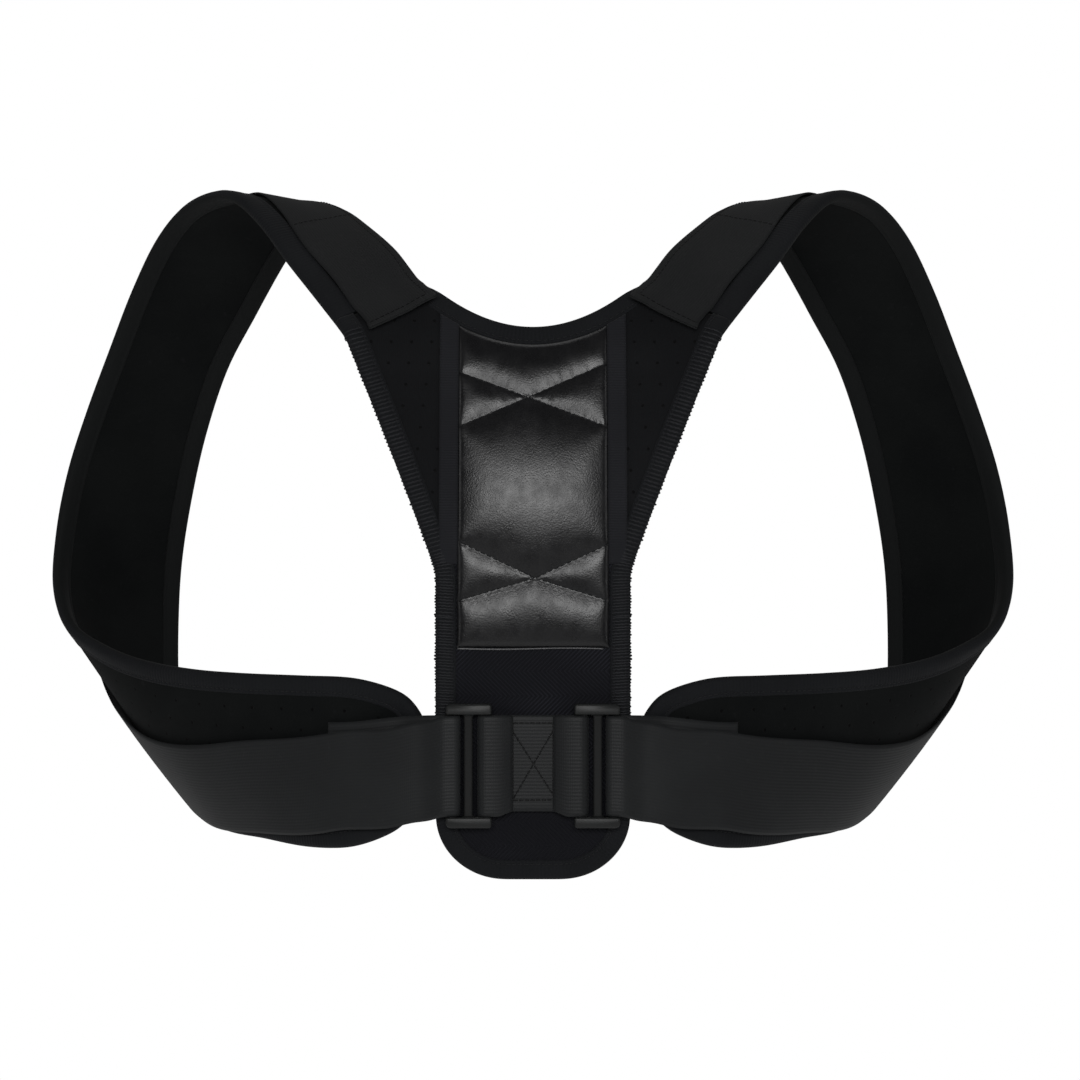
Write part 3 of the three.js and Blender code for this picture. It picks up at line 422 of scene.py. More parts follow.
def panel_cloth():
    """Herringbone ribbon between the tapes, perforated knit on the yoke, split at |x|."""
    cloth = Finish("panel_cloth", 0.85, 0.2, 0.02)
    loops = cloth.group(KNIT, cloth.uv)["Height"]
    ribs = cloth.group(HERRINGBONE, cloth.uv)["Height"]
    u, v = cloth.axes(cloth.uv)
    x = cloth.math("ABSOLUTE", u)
    shifted = {0: cloth.math("SUBTRACT", x, 0.0047), 1: cloth.math("ADD", v, 0.0036)}
    place = cloth.add("ShaderNodeCombineXYZ", shifted).outputs[0]
    pitches = {"Pitch U": 0.01015, "Pitch V": 0.0108, "Row Shift": 0.0013}
    yoke = cloth.math("GREATER_THAN", x, 0.0425)
    holes = cloth.math("MULTIPLY", cloth.group(PERFORATIONS, place, pitches)["Hole"], yoke)
    knit = cloth.dyed((0.0062, 0.0066, 0.0078, 1), (0.0092, 0.0097, 0.011, 1))
    # Painted shade: the yoke's perforations are coloured near-black.
    knit = cloth.mix(holes, knit, HOLE_PAINTED_SHADE)
    # Painted highlight: the herringbone's rib crowns are coloured lighter than its grooves, in
    # noise patches and less towards the bottom; this also draws the weave's pattern.
    clear = cloth.ramp(cloth.noise(cloth.uv, 16.0, 1.0), 0.4, 0.6, 0.3, 1.0)
    clear = cloth.math("MULTIPLY", clear, cloth.ramp(v, -0.16, -0.115, 0.3, 1.0))
    clear = cloth.math("MULTIPLY", ribs, clear)
    ribbon = cloth.mix(clear, (0.0068, 0.007, 0.0098, 1), (0.0225, 0.0235, 0.031, 1))
    height = cloth.math("MULTIPLY", loops, 0.3)
    height = cloth.add("ShaderNodeMix", {0: yoke, 2: ribs, 3: height}).outputs[0]
    closed = cloth.math("SUBTRACT", 1.0, holes)
    colour = cloth.mix(yoke, ribbon, knit)
    return cloth.shown(colour, (height, 0.7, 0.0004), (closed, 0.9, 0.0006))


def two_way(rows, columns, surface):
    """A grid of surface points with the uv that surface gives, over two shares from 0 to 1."""
    down, over = np.meshgrid(np.linspace(0, 1, rows), np.linspace(0, 1, columns), indexing="ij")
    return surface(down, over)


PANEL_ROWS, PANEL_COLUMNS, TAIL_ROWS, YOKE_COLUMNS, SEAM_ROWS = 61, 49, 46, 21, 6
PANEL_SEAM = 0.99


def panel_x(share):
    """x across the panel, with points closer together towards its sides."""
    return PANEL_HALF * np.sin(np.pi / 2 * (2 * share - 1))


def panel_side(up):
    """The panel's side from the tail's corner (0) to the yoke's foot (1)."""
    return tail(PANEL_HALF) + (YOKE_FOOT - tail(PANEL_HALF)) * up


def with_flat_uv(points):
    return points, points[..., [0, 2]]


def low_panel(across, up):
    x = panel_x(across)
    return with_flat_uv(back_surface(x, tail(x) + (YOKE_FOOT - tail(x)) * up))


def high_panel(across, up):
    x = panel_x(across)
    return with_flat_uv(back_surface(x, YOKE_FOOT + (neckline(x) - YOKE_FOOT) * up))


def yoke(up, across):
    side = back_surface(PANEL_HALF, YOKE_FOOT + YOKE_RISE * up)
    return with_flat_uv(yoke_edge(up) * (1 - across[..., None]) + side * across[..., None])


def neck_strip(along, across):
    return with_flat_uv(pad_surface(along * PANEL_SEAM, across))


def mirrored_patch(patch):
    """A patch on the other side of the spine line, with its columns reversed."""
    points, uv = patch
    return points[:, ::-1] * (-1, 1, 1), uv[:, ::-1] * (-1, 1)


yoke_patch = two_way(PANEL_ROWS, YOKE_COLUMNS, yoke)
neck_patch = two_way(SEAM_ROWS, YOKE_COLUMNS, neck_strip)
panel_patches = [
    two_way(PANEL_COLUMNS, TAIL_ROWS, low_panel), two_way(PANEL_COLUMNS, PANEL_ROWS, high_panel),
    yoke_patch, neck_patch, mirrored_patch(yoke_patch), mirrored_patch(neck_patch),
]
panel_half = rounded_rim(0.002, 0.004)
back_panel = closed_sheet("back_panel_cloth", panel_patches, panel_half, panel_half)
finished(back_panel, panel_cloth(), "padding", "back_panel")


# Shoulder pads: each loop is one long laminated foam pad that goes over the shoulder, down the
# chest, back under the arm and to a rounded end beside the panel. Smooth knit on both faces,
# with ventilation holes from the underarm to the end.
def lengths_along(line):
    """Length along a line of points up to each of them."""
    return np.concatenate([[0], np.cumsum(np.linalg.norm(np.diff(line, axis=0), axis=1))])


def along_pad(station):
    """Length along the pad's middle line up to each station."""
    fine = np.linspace(0, LAST_STATION, 1001)
    return np.interp(station, fine, lengths_along(pad_surface(fine, 0.5)))


RIPPLE_HEIGHT, RIPPLE_LENGTH, RIPPLE_SEED = 0.00025, 0.07, 3


def ripple(uv):
    """Gentle unevenness of worked cloth: a sum of eight waves with seeded directions."""
    draw = np.random.default_rng(RIPPLE_SEED)
    angle, phase = draw.uniform(0, np.pi, 8), draw.uniform(0, 2 * np.pi, 8)
    share = draw.uniform(0.25, 1, 8)
    length = RIPPLE_LENGTH * share
    run = np.outer(uv[:, 0], np.cos(angle) / length) + np.outer(uv[:, 1], np.sin(angle) / length)
    return RIPPLE_HEIGHT * (np.sin(2 * np.pi * run + phase) * share).sum(1) / 4


def pad_patch(stations, across):
    station, across = np.meshgrid(stations, across, indexing="ij")
    uv = np.stack([along_pad(station), across * pad_width(station)], -1)
    return pad_surface(station, across), uv


def pad_face(side):
    """Height of the outer face (1) or the depth of the inner one (-1), which ripple together."""
    def height(distance, uv):
        return pad_edge(distance, uv) + side * ripple(uv) * np.clip(distance / 0.015, 0, 1)
    return height


def loop_cloth():
    """Smooth dark knit with fine loops, broad uneven dye, and holes from the underarm on."""
    cloth = Finish("loop_cloth", 0.9, 0.15, 0.02)
    loops = cloth.group(KNIT, cloth.uv)["Height"]
    pitches = {"Pitch U": 0.0175, "Pitch V": 0.0105, "Row Shift": 0.0065, "Radius": 0.0008}
    beyond = cloth.math("GREATER_THAN", cloth.axes(cloth.uv)[0], HOLES_FROM)
    holes = cloth.math("MULTIPLY", cloth.group(PERFORATIONS, cloth.uv, pitches)["Hole"], beyond)
    lint = cloth.math("MULTIPLY", cloth.varied["Lint"], 0.25)
    colour = cloth.dyed((0.0042, 0.005, 0.0052, 1), (0.0068, 0.0078, 0.0078, 1))
    colour = cloth.mix(lint, colour, (0.02, 0.02, 0.022, 1))
    closed = cloth.math("SUBTRACT", 1.0, holes)
    # Painted shade: the ventilation holes are coloured near-black.
    colour = cloth.mix(holes, colour, HOLE_PAINTED_SHADE)
    return cloth.shown(colour, (loops, 0.35, 0.00012), (closed, 0.9, 0.0006))


PAD_SEAM = 1.01
HOLES_FROM = float(along_pad(14.6))
spread = np.linspace(0, 1, 45)
pad_columns = 0.6 * spread + 0.4 * (0.5 - 0.5 * np.cos(np.pi * spread))
pad_rows = np.linspace(PAD_SEAM, LAST_STATION, 385)
pad_edge = rounded_rim(0.002, 0.004)
LOOP_CLOTH = loop_cloth()
pad_patches = [pad_patch(pad_rows, pad_columns)]
pad_right = closed_sheet("shoulder_pad_cloth_right", pad_patches, pad_face(1), pad_face(-1))
for piece, side in pair(pad_right):
    finished(piece, LOOP_CLOTH, "padding", f"shoulder_pad_{side}")


# Edge bindings: a knit tape folded over the raw edge of the pads, the panel's outline and the
# neckline, and sewn through with one line of stitching near its inner edge.
BAND_WIDTH = 0.009
# The folded tape's section in mm, in from the edge and up from the middle.
BAND_OUTSIDE = np.array([
    (9.0, 2.05), (8.85, 2.45), (8.4, 2.72), (7.6, 2.72), (7.0, 2.5), (6.4, 2.74), (4.5, 3.0),
    (2.5, 3.06), (0.9, 2.92), (-0.3, 2.35), (-1.05, 1.35), (-1.3, 0.0),
])
BAND_INSIDE = np.array([(8.2, -1.9), (0.2, -1.5), (-0.3, 0), (0.2, 1.5), (8.2, 1.9)])
BAND_SECTION = 0.001 * np.vstack([BAND_OUTSIDE, BAND_OUTSIDE[-2::-1] * (1, -1), BAND_INSIDE])


def between(rows, known, at):
    """Rows of x, y and z that are known at some places, read off at others."""
    return np.stack([np.interp(at, known, rows[:, k]) for k in range(3)], -1)


def at_even_steps(step, line, *others):
    """A line's points at even steps of its length, other arrays at the same places, and the
    places themselves."""
    at = lengths_along(line)
    places = np.linspace(0, at[-1], int(round(at[-1] / step)) + 1)
    return *(between(rows, at, places) for rows in (line, *others)), places


def smoothed(rows, passes):
    """Each row averaged with its two neighbours, again and again; the ends stay."""
    for _ in range(passes):
        rows = np.vstack([rows[:1], (rows[:-2] + 2 * rows[1:-1] + rows[2:]) / 4, rows[-1:]])
    return rows


class Rim:
    """An edge of a sheet: even places along it, with the point, the way in and the outward
    normal at each. The way in is square to the edge and leans to a point further in."""

    def __init__(self, edge, further, outwards, step=0.0015, passes=4):
        edge, further, outwards, self.places = at_even_steps(step, edge, further, outwards)
        self.points = smoothed(edge, passes)
        tangents = unit(smoothed(np.gradient(self.points, axis=0), 2))
        way = smoothed(unit(further - edge), passes)
        self.inwards = unit(way - tangents * (way * tangents).sum(-1, keepdims=True))
        normals = np.cross(tangents, self.inwards)
        side = np.sign((normals * outwards).sum(-1, keepdims=True))
        self.normals = unit(normals * side)

    def at(self, places, depth, height):
        """Points at places along the edge, depth in from it and height above the middle."""
        depth, height = np.asarray(depth)[..., None], np.asarray(height)[..., None]
        point, inwards, normal = (
            between(rows, self.places, places)
            for rows in (self.points, self.inwards, self.normals)
        )
        return point + inwards * depth + normal * height

    def normals_at(self, places):
        return between(self.normals, self.places, places)


def facing_out(points, faces):
    """The faces, turned over if the closed shape's signed volume is negative."""
    a, b, c, d = (points[faces[:, k]] for k in range(4))
    volume = (a * np.cross(b, c)).sum() + (a * np.cross(c, d)).sum()
    return faces if volume > 0 else faces[:, ::-1]


def swept(name, rings, uv):
    """A closed tube through rings of points, which are rows by ring size by 3, with one flat
    face on each end."""
    rows, size = rings.shape[:2]
    index = np.arange(rows * size).reshape(rows, size)
    ahead = np.roll(index, -1, axis=1)
    side = np.stack([index[:-1], index[1:], ahead[1:], ahead[:-1]], -1).reshape(-1, 4)
    points = rings.reshape(-1, 3)
    caps = [index[0].tolist(), index[-1, ::-1].tolist()]
    if facing_out(points, side) is not side:
        side, caps = side[:, ::-1], [cap[::-1] for cap in caps]
    return new_piece(name, points, side.tolist() + caps, uv)


def banding(name, rim, wider=0.0):
    """The folded tape: its section of depth and height carried along a rim. wider is the share
    by which its depth grows, for each place."""
    places, depth = np.meshgrid(rim.places, BAND_SECTION[:, 0], indexing="ij")
    depth = depth * (1 + np.broadcast_to(wider, rim.places.shape)[:, None] * (depth > 0))
    rings = rim.at(places, depth, np.broadcast_to(BAND_SECTION[:, 1], depth.shape))
    run = np.broadcast_to(lengths_along(BAND_SECTION), places.shape)
    return swept(name, rings, np.stack([places, run], -1).reshape(-1, 2))


def tape_ribs():
    """Cross ribs of a tape, in patches: a sine along u times a noise."""
    graph, given, out = effect("tape ribs", {"Pitch": 0.0019, "Patch Scale": 22.0}, "Height")
    ribs = graph.wave(graph.axes(given["Vector"])[0], given["Pitch"])
    noise = graph.noise(given["Vector"], given["Patch Scale"], 1.0)
    patches = graph.ramp(noise, 0.4, 0.65, 0.25, 1.0)
    graph.link(graph.math("MULTIPLY", graph.ramp(ribs, -0.7, 0.7), patches), out["Height"])
    return graph.tree


TAPE_RIBS = tape_ribs()


def edge_tape():
    """Knit tape with faint cross ribs whose crowns are painted lighter, a painted highlight; a
    little bluer and lighter than the pads, and dark on its inner face, which starts 12 to 13 mm
    along its section."""
    tape = Finish("edge_tape", 0.8, 0.25, 0.04)
    loops = tape.group(KNIT, tape.uv, {"Wale": 0.0006, "Course": 0.0005})["Height"]
    inner = tape.ramp(tape.axes(tape.uv)[1], 0.0122, 0.0132)
    outer = tape.math("SUBTRACT", 1.0, inner)
    ribs = tape.math("MULTIPLY", tape.group(TAPE_RIBS, tape.uv)["Height"], outer)
    colour = tape.dyed((0.0056, 0.0064, 0.008, 1), (0.0085, 0.0096, 0.0115, 1))
    # Painted highlight: the rib crowns are coloured lighter.
    colour = tape.mix(tape.math("MULTIPLY", ribs, 0.25), colour, (0.013, 0.014, 0.0175, 1))
    colour = tape.mix(inner, colour, (0.0052, 0.0062, 0.0064, 1))
    return tape.shown(colour, (ribs, 0.5, 0.00025), (loops, 0.3, 0.0001))


EDGE_TAPE = edge_tape()


def loop_rim():
    """Round the right-hand pad: down its arm edge, across its tip and up its body edge."""
    down = np.linspace(PAD_SEAM, LAST_STATION, 721)
    tip = np.linspace(0, 1, 17)[1:-1]
    station = np.concatenate([down, np.full(len(tip), float(LAST_STATION)), down[::-1]])
    across = np.concatenate([np.zeros(len(down)), tip, np.ones(len(down))])
    reach = np.minimum(0.009 / pad_width(station), 0.45)
    held = station - np.interp(station, [21, 22, 23, 24, 25], [0, 0.35, 1, 1.6, 2.3])
    edge = pad_surface(station, across)
    further = pad_surface(held, across + 2 * reach * (0.5 - across))
    inner = np.clip(across, 0.02, 0.98)
    return Rim(edge, further, pad_normal(np.minimum(station, LAST_STATION - 0.1), inner))


LOOP_RIM = loop_rim()
UNDER_COVER, COVERED_END = 0.27, 0.16
covered = np.clip((COVERED_END - LOOP_RIM.places) / 0.03, 0, 1)
band_right = banding("shoulder_binding_tape_right", LOOP_RIM, UNDER_COVER * covered)
for piece, side in pair(band_right):
    finished(piece, EDGE_TAPE, "edge_binding", f"shoulder_binding_{side}")


def whole_rim(edge, further, passes):
    """A rim from its half on one side of the spine line and that half's mirror image."""
    edge, further = (np.vstack([rows * (-1, 1, 1), rows[-2::-1]]) for rows in (edge, further))
    return Rim(edge, further, np.broadcast_to((0.0, -1.0, 0.0), edge.shape), passes=passes)


def panel_rim():
    """Round the panel: from the left seam down the yoke and the side, round the tail and up."""
    neck = np.linspace(PANEL_SEAM, 0, 12)[:-1]
    share = np.linspace(1, 0, 121)[:-1]
    side = np.linspace(1, 0, 90)[:-1]
    x_turn = panel_x(np.linspace(1, 0.5, 160))
    edge = np.vstack([
        pad_surface(neck, np.zeros(len(neck))),
        yoke_edge(share),
        back_surface(PANEL_HALF, panel_side(side)),
        back_surface(x_turn, tail(x_turn)),
    ])
    further = np.vstack([
        pad_surface(neck, np.full(len(neck), 0.2)),
        back_surface(PANEL_HALF - 0.0003, YOKE_FOOT + YOKE_RISE * share),
        back_surface(0.02, panel_side(side)),
        back_surface(x_turn * 0.7, tail(x_turn) * 0.7 - 0.129 * 0.3),
    ])
    return whole_rim(edge, further, 6)


PANEL_RIM = panel_rim()
finished(banding("panel_binding_tape", PANEL_RIM), EDGE_TAPE, "edge_binding", "panel_binding")


def neck_slope(x):
    return 2 * NECK_DIP * x / PANEL_HALF**2


def neck_rim():
    """Along the neckline, from the right-hand seam to the left one."""
    up = np.linspace(PANEL_SEAM, 0, 24)[:-1]
    x = np.linspace(PANEL_HALF, 0, 60)
    edge = np.vstack([pad_surface(up, np.ones(len(up))), back_surface(x, neckline(x))])
    inside = back_surface(x + neck_slope(x) * BAND_WIDTH, neckline(x) - BAND_WIDTH)
    further = np.vstack([pad_surface(up, np.full(len(up), 0.8)), inside])
    return whole_rim(edge * (-1, 1, 1), further * (-1, 1, 1), 8)


NECK_RIM = neck_rim()
finished(banding("neckline_binding_tape", NECK_RIM), EDGE_TAPE, "edge_binding", "neckline_binding")


# Overlock stitching: a thread laid over the binding like the rungs of a ladder, coarse down the
# yoke's arm-side edges and finer down the panel's sides.
def threads(name, lines, normals, width, height, sides=6):
    """Short rounded threads, all in one mesh: an ellipse carried along each line of points,
    with its ends closed. Lines and normals are threads by points by 3."""
    count, length = lines.shape[:2]
    along = unit(np.gradient(lines, axis=1))
    across = unit(np.cross(along, normals))
    up = np.cross(across, along)
    angle = np.linspace(0, 2 * np.pi, sides, endpoint=False)[:, None]
    ring = across[:, :, None] * np.cos(angle) * width + up[:, :, None] * np.sin(angle) * height
    points = (lines[:, :, None] + ring).reshape(-1, 3)
    index = np.arange(length * sides).reshape(length, sides)
    ahead = np.roll(index, -1, axis=1)
    side = np.stack([index[:-1], ahead[:-1], ahead[1:], index[1:]], -1).reshape(-1, 4)
    k = np.arange(sides // 2 - 1)
    cap = np.stack([k, k + 1, sides - 2 - k, sides - 1 - k], -1)
    one = np.concatenate([side, cap[:, ::-1], cap + index[-1, 0]])
    one = facing_out(points[: length * sides], one)
    faces = (one[None] + np.arange(count)[:, None, None] * length * sides).reshape(-1, 4)
    v, u = np.meshgrid(np.linspace(0, 1, length), np.arange(sides) / sides, indexing="ij")
    uv = np.tile(np.stack([u, v], -1).reshape(-1, 2), (count, 1))
    return new_piece(name, points, faces, uv)


def twisted_thread(name, colour, light):
    """Polyester thread: a slant twist as bump, with its ridges painted lighter as a painted
    highlight.
    """
    thread = Finish(name, 0.55, 0.35, 0.05)
    u, v = thread.axes(thread.uv)
    run = thread.math("ADD", thread.math("MULTIPLY", v, 9.0), thread.math("MULTIPLY", u, 2.0))
    twist = thread.ramp(thread.wave(run, 1.0), -0.5, 0.9)
    worn = thread.math("MULTIPLY", thread.varied["Shade"], 0.4)
    # Painted highlight: the twist's ridges take the lighter colour.
    strand = thread.mix(worn, thread.mix(twist, colour, light), colour)
    return thread.shown(strand, (twist, 0.5, 0.0001))


OVERLOCK_THREAD = twisted_thread(
    "overlock_thread", (0.0065, 0.0072, 0.0095, 1), (0.0135, 0.0145, 0.019, 1)
)
# Depth and height of the points of one rung round the binding, in mm.
RUNG_DEPTHS, RUNG_HEIGHTS = 0.001 * np.array([
    (8.2, 7.6, 5.8, 3.6, 1.6, 0.2, -0.9, -1.45, -0.9, 0.4, 3, 6),
    (2.3, 2.85, 3.02, 3.18, 3.16, 2.85, 2.0, 0.0, -2.0, -2.9, -3.2, -2.4),
])
RUNG_WIDTH, RUNG_THICKNESS, RUNG_LEAN = 0.00048, 0.0003, 0.0016


def rungs(name, rim, places):
    """Threads over a rim at the given places. Each leans along the edge, and its normals point
    away from the middle of the band's rounded edge, so that it keeps its width."""
    lean = np.linspace(-0.5, 0.5, len(RUNG_DEPTHS)) * RUNG_LEAN
    draw = np.random.default_rng(len(places))
    places = places[:, None] + lean + draw.normal(0, 0.00012, (len(places), 1))
    depth = RUNG_DEPTHS + draw.normal(0, 0.00018, (len(places), 1))
    height = np.broadcast_to(RUNG_HEIGHTS, places.shape)
    lines = rim.at(places, depth, height)
    middle = rim.at(places, np.full(depth.shape, 0.003), np.zeros(depth.shape))
    return threads(name, lines, unit(lines - middle), RUNG_WIDTH, RUNG_THICKNESS)


def place_of_height(rim, z, after):
    """The place along a rim, past a given one, where it first comes to a height."""
    gap = np.abs(rim.points[:, 2] - z) + np.where(rim.places > after, 0, 1)
    return float(rim.places[np.argmin(gap)])
    return float(rim.places[np.argmin(gap)])


half_way = PANEL_RIM.places[-1] / 2
yoke_top, yoke_foot, side_foot = (
    place_of_height(PANEL_RIM, z, half_way) for z in (0.081, -0.03, -0.112)
)
coarse = np.arange(yoke_foot, yoke_top, 0.0021)
fine = np.arange(side_foot, yoke_foot, 0.0015)
for piece, _ in pair(rungs("overlock_right", PANEL_RIM, np.concatenate([fine, coarse]))):
    finished(piece, OVERLOCK_THREAD, "edge_binding")


# Seam stitching on the bindings: single lines of lockstitch, a stitch every 3 mm, that sink into
# the tape's groove. Only the outer face shows them.
STITCH_RUN = np.array([-0.5, -0.36, 0.0, 0.36, 0.5]) * 0.72
STITCH_LIFT = np.array([-0.22, 0.1, 0.16, 0.1, -0.22]) * 0.001


def lockstitches(name, line_at, normal_at, length, pitch=0.003, width=0.00026):
    """Stitches along a line given as a function of length: each rises out of the cloth, runs a
    share of the pitch, and dips back in."""
    starts = (np.arange(int(length / pitch)) + 0.5) * pitch
    places = starts[:, None] + STITCH_RUN * pitch
    normals = normal_at(places)
    lines = line_at(places) + normals * STITCH_LIFT[:, None]
    return threads(name, lines, normals, width, width * 0.8)


SEAM_THREAD = twisted_thread(
    "seam_thread", (0.0042, 0.0046, 0.0058, 1), (0.0078, 0.0086, 0.0104, 1)
)
SEAM_DEPTH, SEAM_HEIGHT = 0.007, 0.0025


def rim_stitches(name, rim):
    def line_at(places):
        one = np.ones(places.shape)
        return rim.at(places, SEAM_DEPTH * one, SEAM_HEIGHT * one)

    return lockstitches(name, line_at, rim.normals_at, rim.places[-1])


for piece, _ in pair(rim_stitches("loop_seam_right", LOOP_RIM)):
    finished(piece, SEAM_THREAD, "edge_binding")
for name, rim in (("panel_seam", PANEL_RIM), ("neckline_seam", NECK_RIM)):
    finished(rim_stitches(name, rim), SEAM_THREAD, "edge_binding")


# Quilted cushion: soft imitation leather over thick wadding, sewn down round its border and
# along two crosses, so that it swells into cells and puckers at the seams.
CUSHION_HALF, CUSHION_FOOT = 0.0382, -0.076
# Arms of the two crosses in mm: x, z of their meeting point, then x, z of their outer end.
UPPER_CROSS, LOWER_CROSS = (-2.5, 49.0), (1.0, -41.0)
QUILT_SEAMS = 0.001 * np.array([
    (*UPPER_CROSS, -38.2, 62.0), (*UPPER_CROSS, -38.2, 34.0),
    (*UPPER_CROSS, 38.2, 66.5), (*UPPER_CROSS, 38.2, 34.0),
    (*LOWER_CROSS, -38.2, -22.5), (*LOWER_CROSS, -38.2, -52.5),
    (*LOWER_CROSS, 38.2, -24.0), (*LOWER_CROSS, 38.2, -52.5),
])


def cushion_top(x):
    """Upper border, tucked just under the neckline's binding."""
    return neckline(x) - BAND_WIDTH * np.hypot(1, neck_slope(x)) + 0.001


def nearest_on_seams(x, z):
    """The nearest point on any seam, and its distance: the foot of the perpendicular, held to
    the seam's ends."""
    point = np.stack([x, z], -1)[..., None, :]
    start, end = QUILT_SEAMS[:, :2], QUILT_SEAMS[:, 2:]
    share = ((point - start) * (end - start)).sum(-1) / ((end - start) ** 2).sum(-1)
    foot = start + (end - start) * np.clip(share, 0, 1)[..., None]
    distance = np.linalg.norm(point - foot, axis=-1)
    best = distance.argmin(-1)
    chosen = np.take_along_axis(foot, best[..., None, None], -2)[..., 0, :]
    return chosen, distance.min(-1)


def cushion_grid(columns, rows):
    """Flat cut of the leather: x and z, with the points nearest to a seam moved onto it."""
    across, up = np.linspace(-1, 1, columns), np.linspace(0, 1, rows)
    x, up = np.meshgrid(across * CUSHION_HALF, up, indexing="ij")
    z = CUSHION_FOOT + (cushion_top(x) - CUSHION_FOOT) * up
    cell = 2 * CUSHION_HALF / (columns - 1)
    foot, distance = nearest_on_seams(x, z)
    inside = np.zeros(x.shape, bool)
    inside[1:-1, 1:-1] = True
    on_seam = inside & (distance < 0.56 * cell)
    x, z = np.where(on_seam, foot[..., 0], x), np.where(on_seam, foot[..., 1], z)
    return x, z, on_seam, ~inside


CLOTH_SETTINGS = {
    "vertex_group_mass": "held", "quality": 6, "mass": 0.2, "tension_stiffness": 9,
    "compression_stiffness": 9, "shear_stiffness": 4, "bending_stiffness": 8, "air_damping": 2,
    "shrink_min": -0.004, "use_pressure": True, "uniform_pressure_force": 7,
}


def swollen_by_cloth(x, z, held, frames=30, scale=10.0):
    """Cloth simulation of the leather at ten times its size: the seams and border are pinned,
    the cloth is cut 0.4% full and pressure stretches it into domes. Returns the moved x and z,
    and the rise."""
    flat = np.stack([x, z, np.where(held, 0.0, 0.0004)], -1).reshape(-1, 3) * scale
    sheet = new_piece("leather_cut", flat, quads_of(*x.shape))
    sheet.vertex_groups.new(name="held").add(np.flatnonzero(held).tolist(), 1.0, "REPLACE")
    cloth = sheet.modifiers.new("cloth", "CLOTH")
    for key, value in CLOTH_SETTINGS.items():
        setattr(cloth.settings, key, value)
    cloth.settings.effector_weights.gravity = 0
    cloth.collision_settings.use_collision = False
    scene = bpy.context.scene
    for frame_number in range(1, frames + 1):
        scene.frame_set(frame_number)
    moved = sheet.evaluated_get(bpy.context.evaluated_depsgraph_get()).to_mesh()
    points = np.zeros(len(moved.vertices) * 3)
    moved.vertices.foreach_get("co", points)
    scene.frame_set(1)
    bpy.data.objects.remove(sheet)
    return np.moveaxis(points.reshape(*x.shape, 3) / scale, -1, 0)


def stood_on_panel(x, z, height):
    """Points at a height over the panel's middle surface, along its own outward normal."""
    step = 0.0005
    along_x = back_surface(x + step, z) - back_surface(x - step, z)
    along_z = back_surface(x, z + step) - back_surface(x, z - step)
    normal = unit(np.cross(along_x, along_z))
    return back_surface(x, z) + normal * np.asarray(height)[..., None], normal


def closed_by_grid(top, bottom):
    """Points and faces of a closed body between two grids that share their outline."""
    rows, columns = top.shape[:2]
    index = np.arange(rows * columns).reshape(rows, columns)
    upper, lower = quads_of(rows, columns), quads_of(rows, columns)[:, ::-1] + rows * columns
    loop = np.concatenate([index[0, :-1], index[:-1, -1], index[-1, :0:-1], index[:0:-1, 0]])
    after = np.roll(loop, -1)
    walls = np.stack([loop, after, after + rows * columns, loop + rows * columns], -1)
    points = np.concatenate([top.reshape(-1, 3), bottom.reshape(-1, 3)])
    faces = np.concatenate([upper, lower, walls])
    return points, faces


def leather_grain():
    """Fine pebble grain of imitation leather: soft-edged cells over a broader crease noise."""
    numbers = {"Pebble Scale": 1300.0, "Crease Scale": 120.0}
    graph, given, out = effect("leather grain", numbers, "Height", "Crease")
    size = {"Vector": given["Vector"], "Scale": given["Pebble Scale"]}
    cells = graph.add("ShaderNodeTexVoronoi", size, feature="SMOOTH_F1").outputs["Distance"]
    graph.link(graph.ramp(cells, 0.1, 0.7, 1.0, 0.0), out["Height"])
    graph.link(graph.noise(given["Vector"], given["Crease Scale"], 5.0, 0.6), out["Crease"])
    return graph.tree


def cushion_leather():
    """Black imitation leather: satin, with a fine grain and soft creases."""
    leather = Finish("cushion_leather", 0.32, 0.5)
    grain = leather.group(leather_grain(), leather.place)
    colour = leather.dyed((0.007, 0.007, 0.0082, 1), (0.0115, 0.0112, 0.012, 1))
    colour = leather.mix(grain["Height"], (0.005, 0.005, 0.006, 1), colour)
    rough = leather.ramp(grain["Crease"], 0.3, 0.75, 0.26, 0.37)
    leather.link(rough, leather.shader["Roughness"])
    return leather.shown(
        colour, (grain["Crease"], 0.16, 0.0006), (grain["Height"], 0.22, 0.00012)
    )


CUSHION_BASE, CUSHION_EDGE, FULLEST = 0.0022, 0.0012, 0.0078


x, z, on_seam, on_border = cushion_grid(71, 141)
from_foot, from_top = z - CUSHION_FOOT, cushion_top(x) - z
border_distance = np.minimum(CUSHION_HALF - np.abs(x), np.minimum(from_foot, from_top))
x, z, rise = swollen_by_cloth(x, z, on_seam | on_border)
rise = FULLEST * np.tanh(np.maximum(rise, 0) / FULLEST)
tucked = np.clip(border_distance / 0.003, 0, 1)
gentle = np.clip((cushion_top(x) - z) / 0.015, 0, 1)
edge = CUSHION_BASE + CUSHION_EDGE * tucked * (2 - tucked)
top, _ = stood_on_panel(x, z, edge + rise * gentle * (2 - gentle))
bottom, _ = stood_on_panel(x, z, np.full(x.shape, CUSHION_BASE))
points, faces = closed_by_grid(top, bottom)
cushion = new_piece("quilted_cushion_leather", points, facing_out(points, faces))
round_off = cushion.modifiers.new("round", "SUBSURF")
round_off.levels = round_off.render_levels = 1
finished(cushion, cushion_leather(), "cushion_leather", "quilted_cushion")


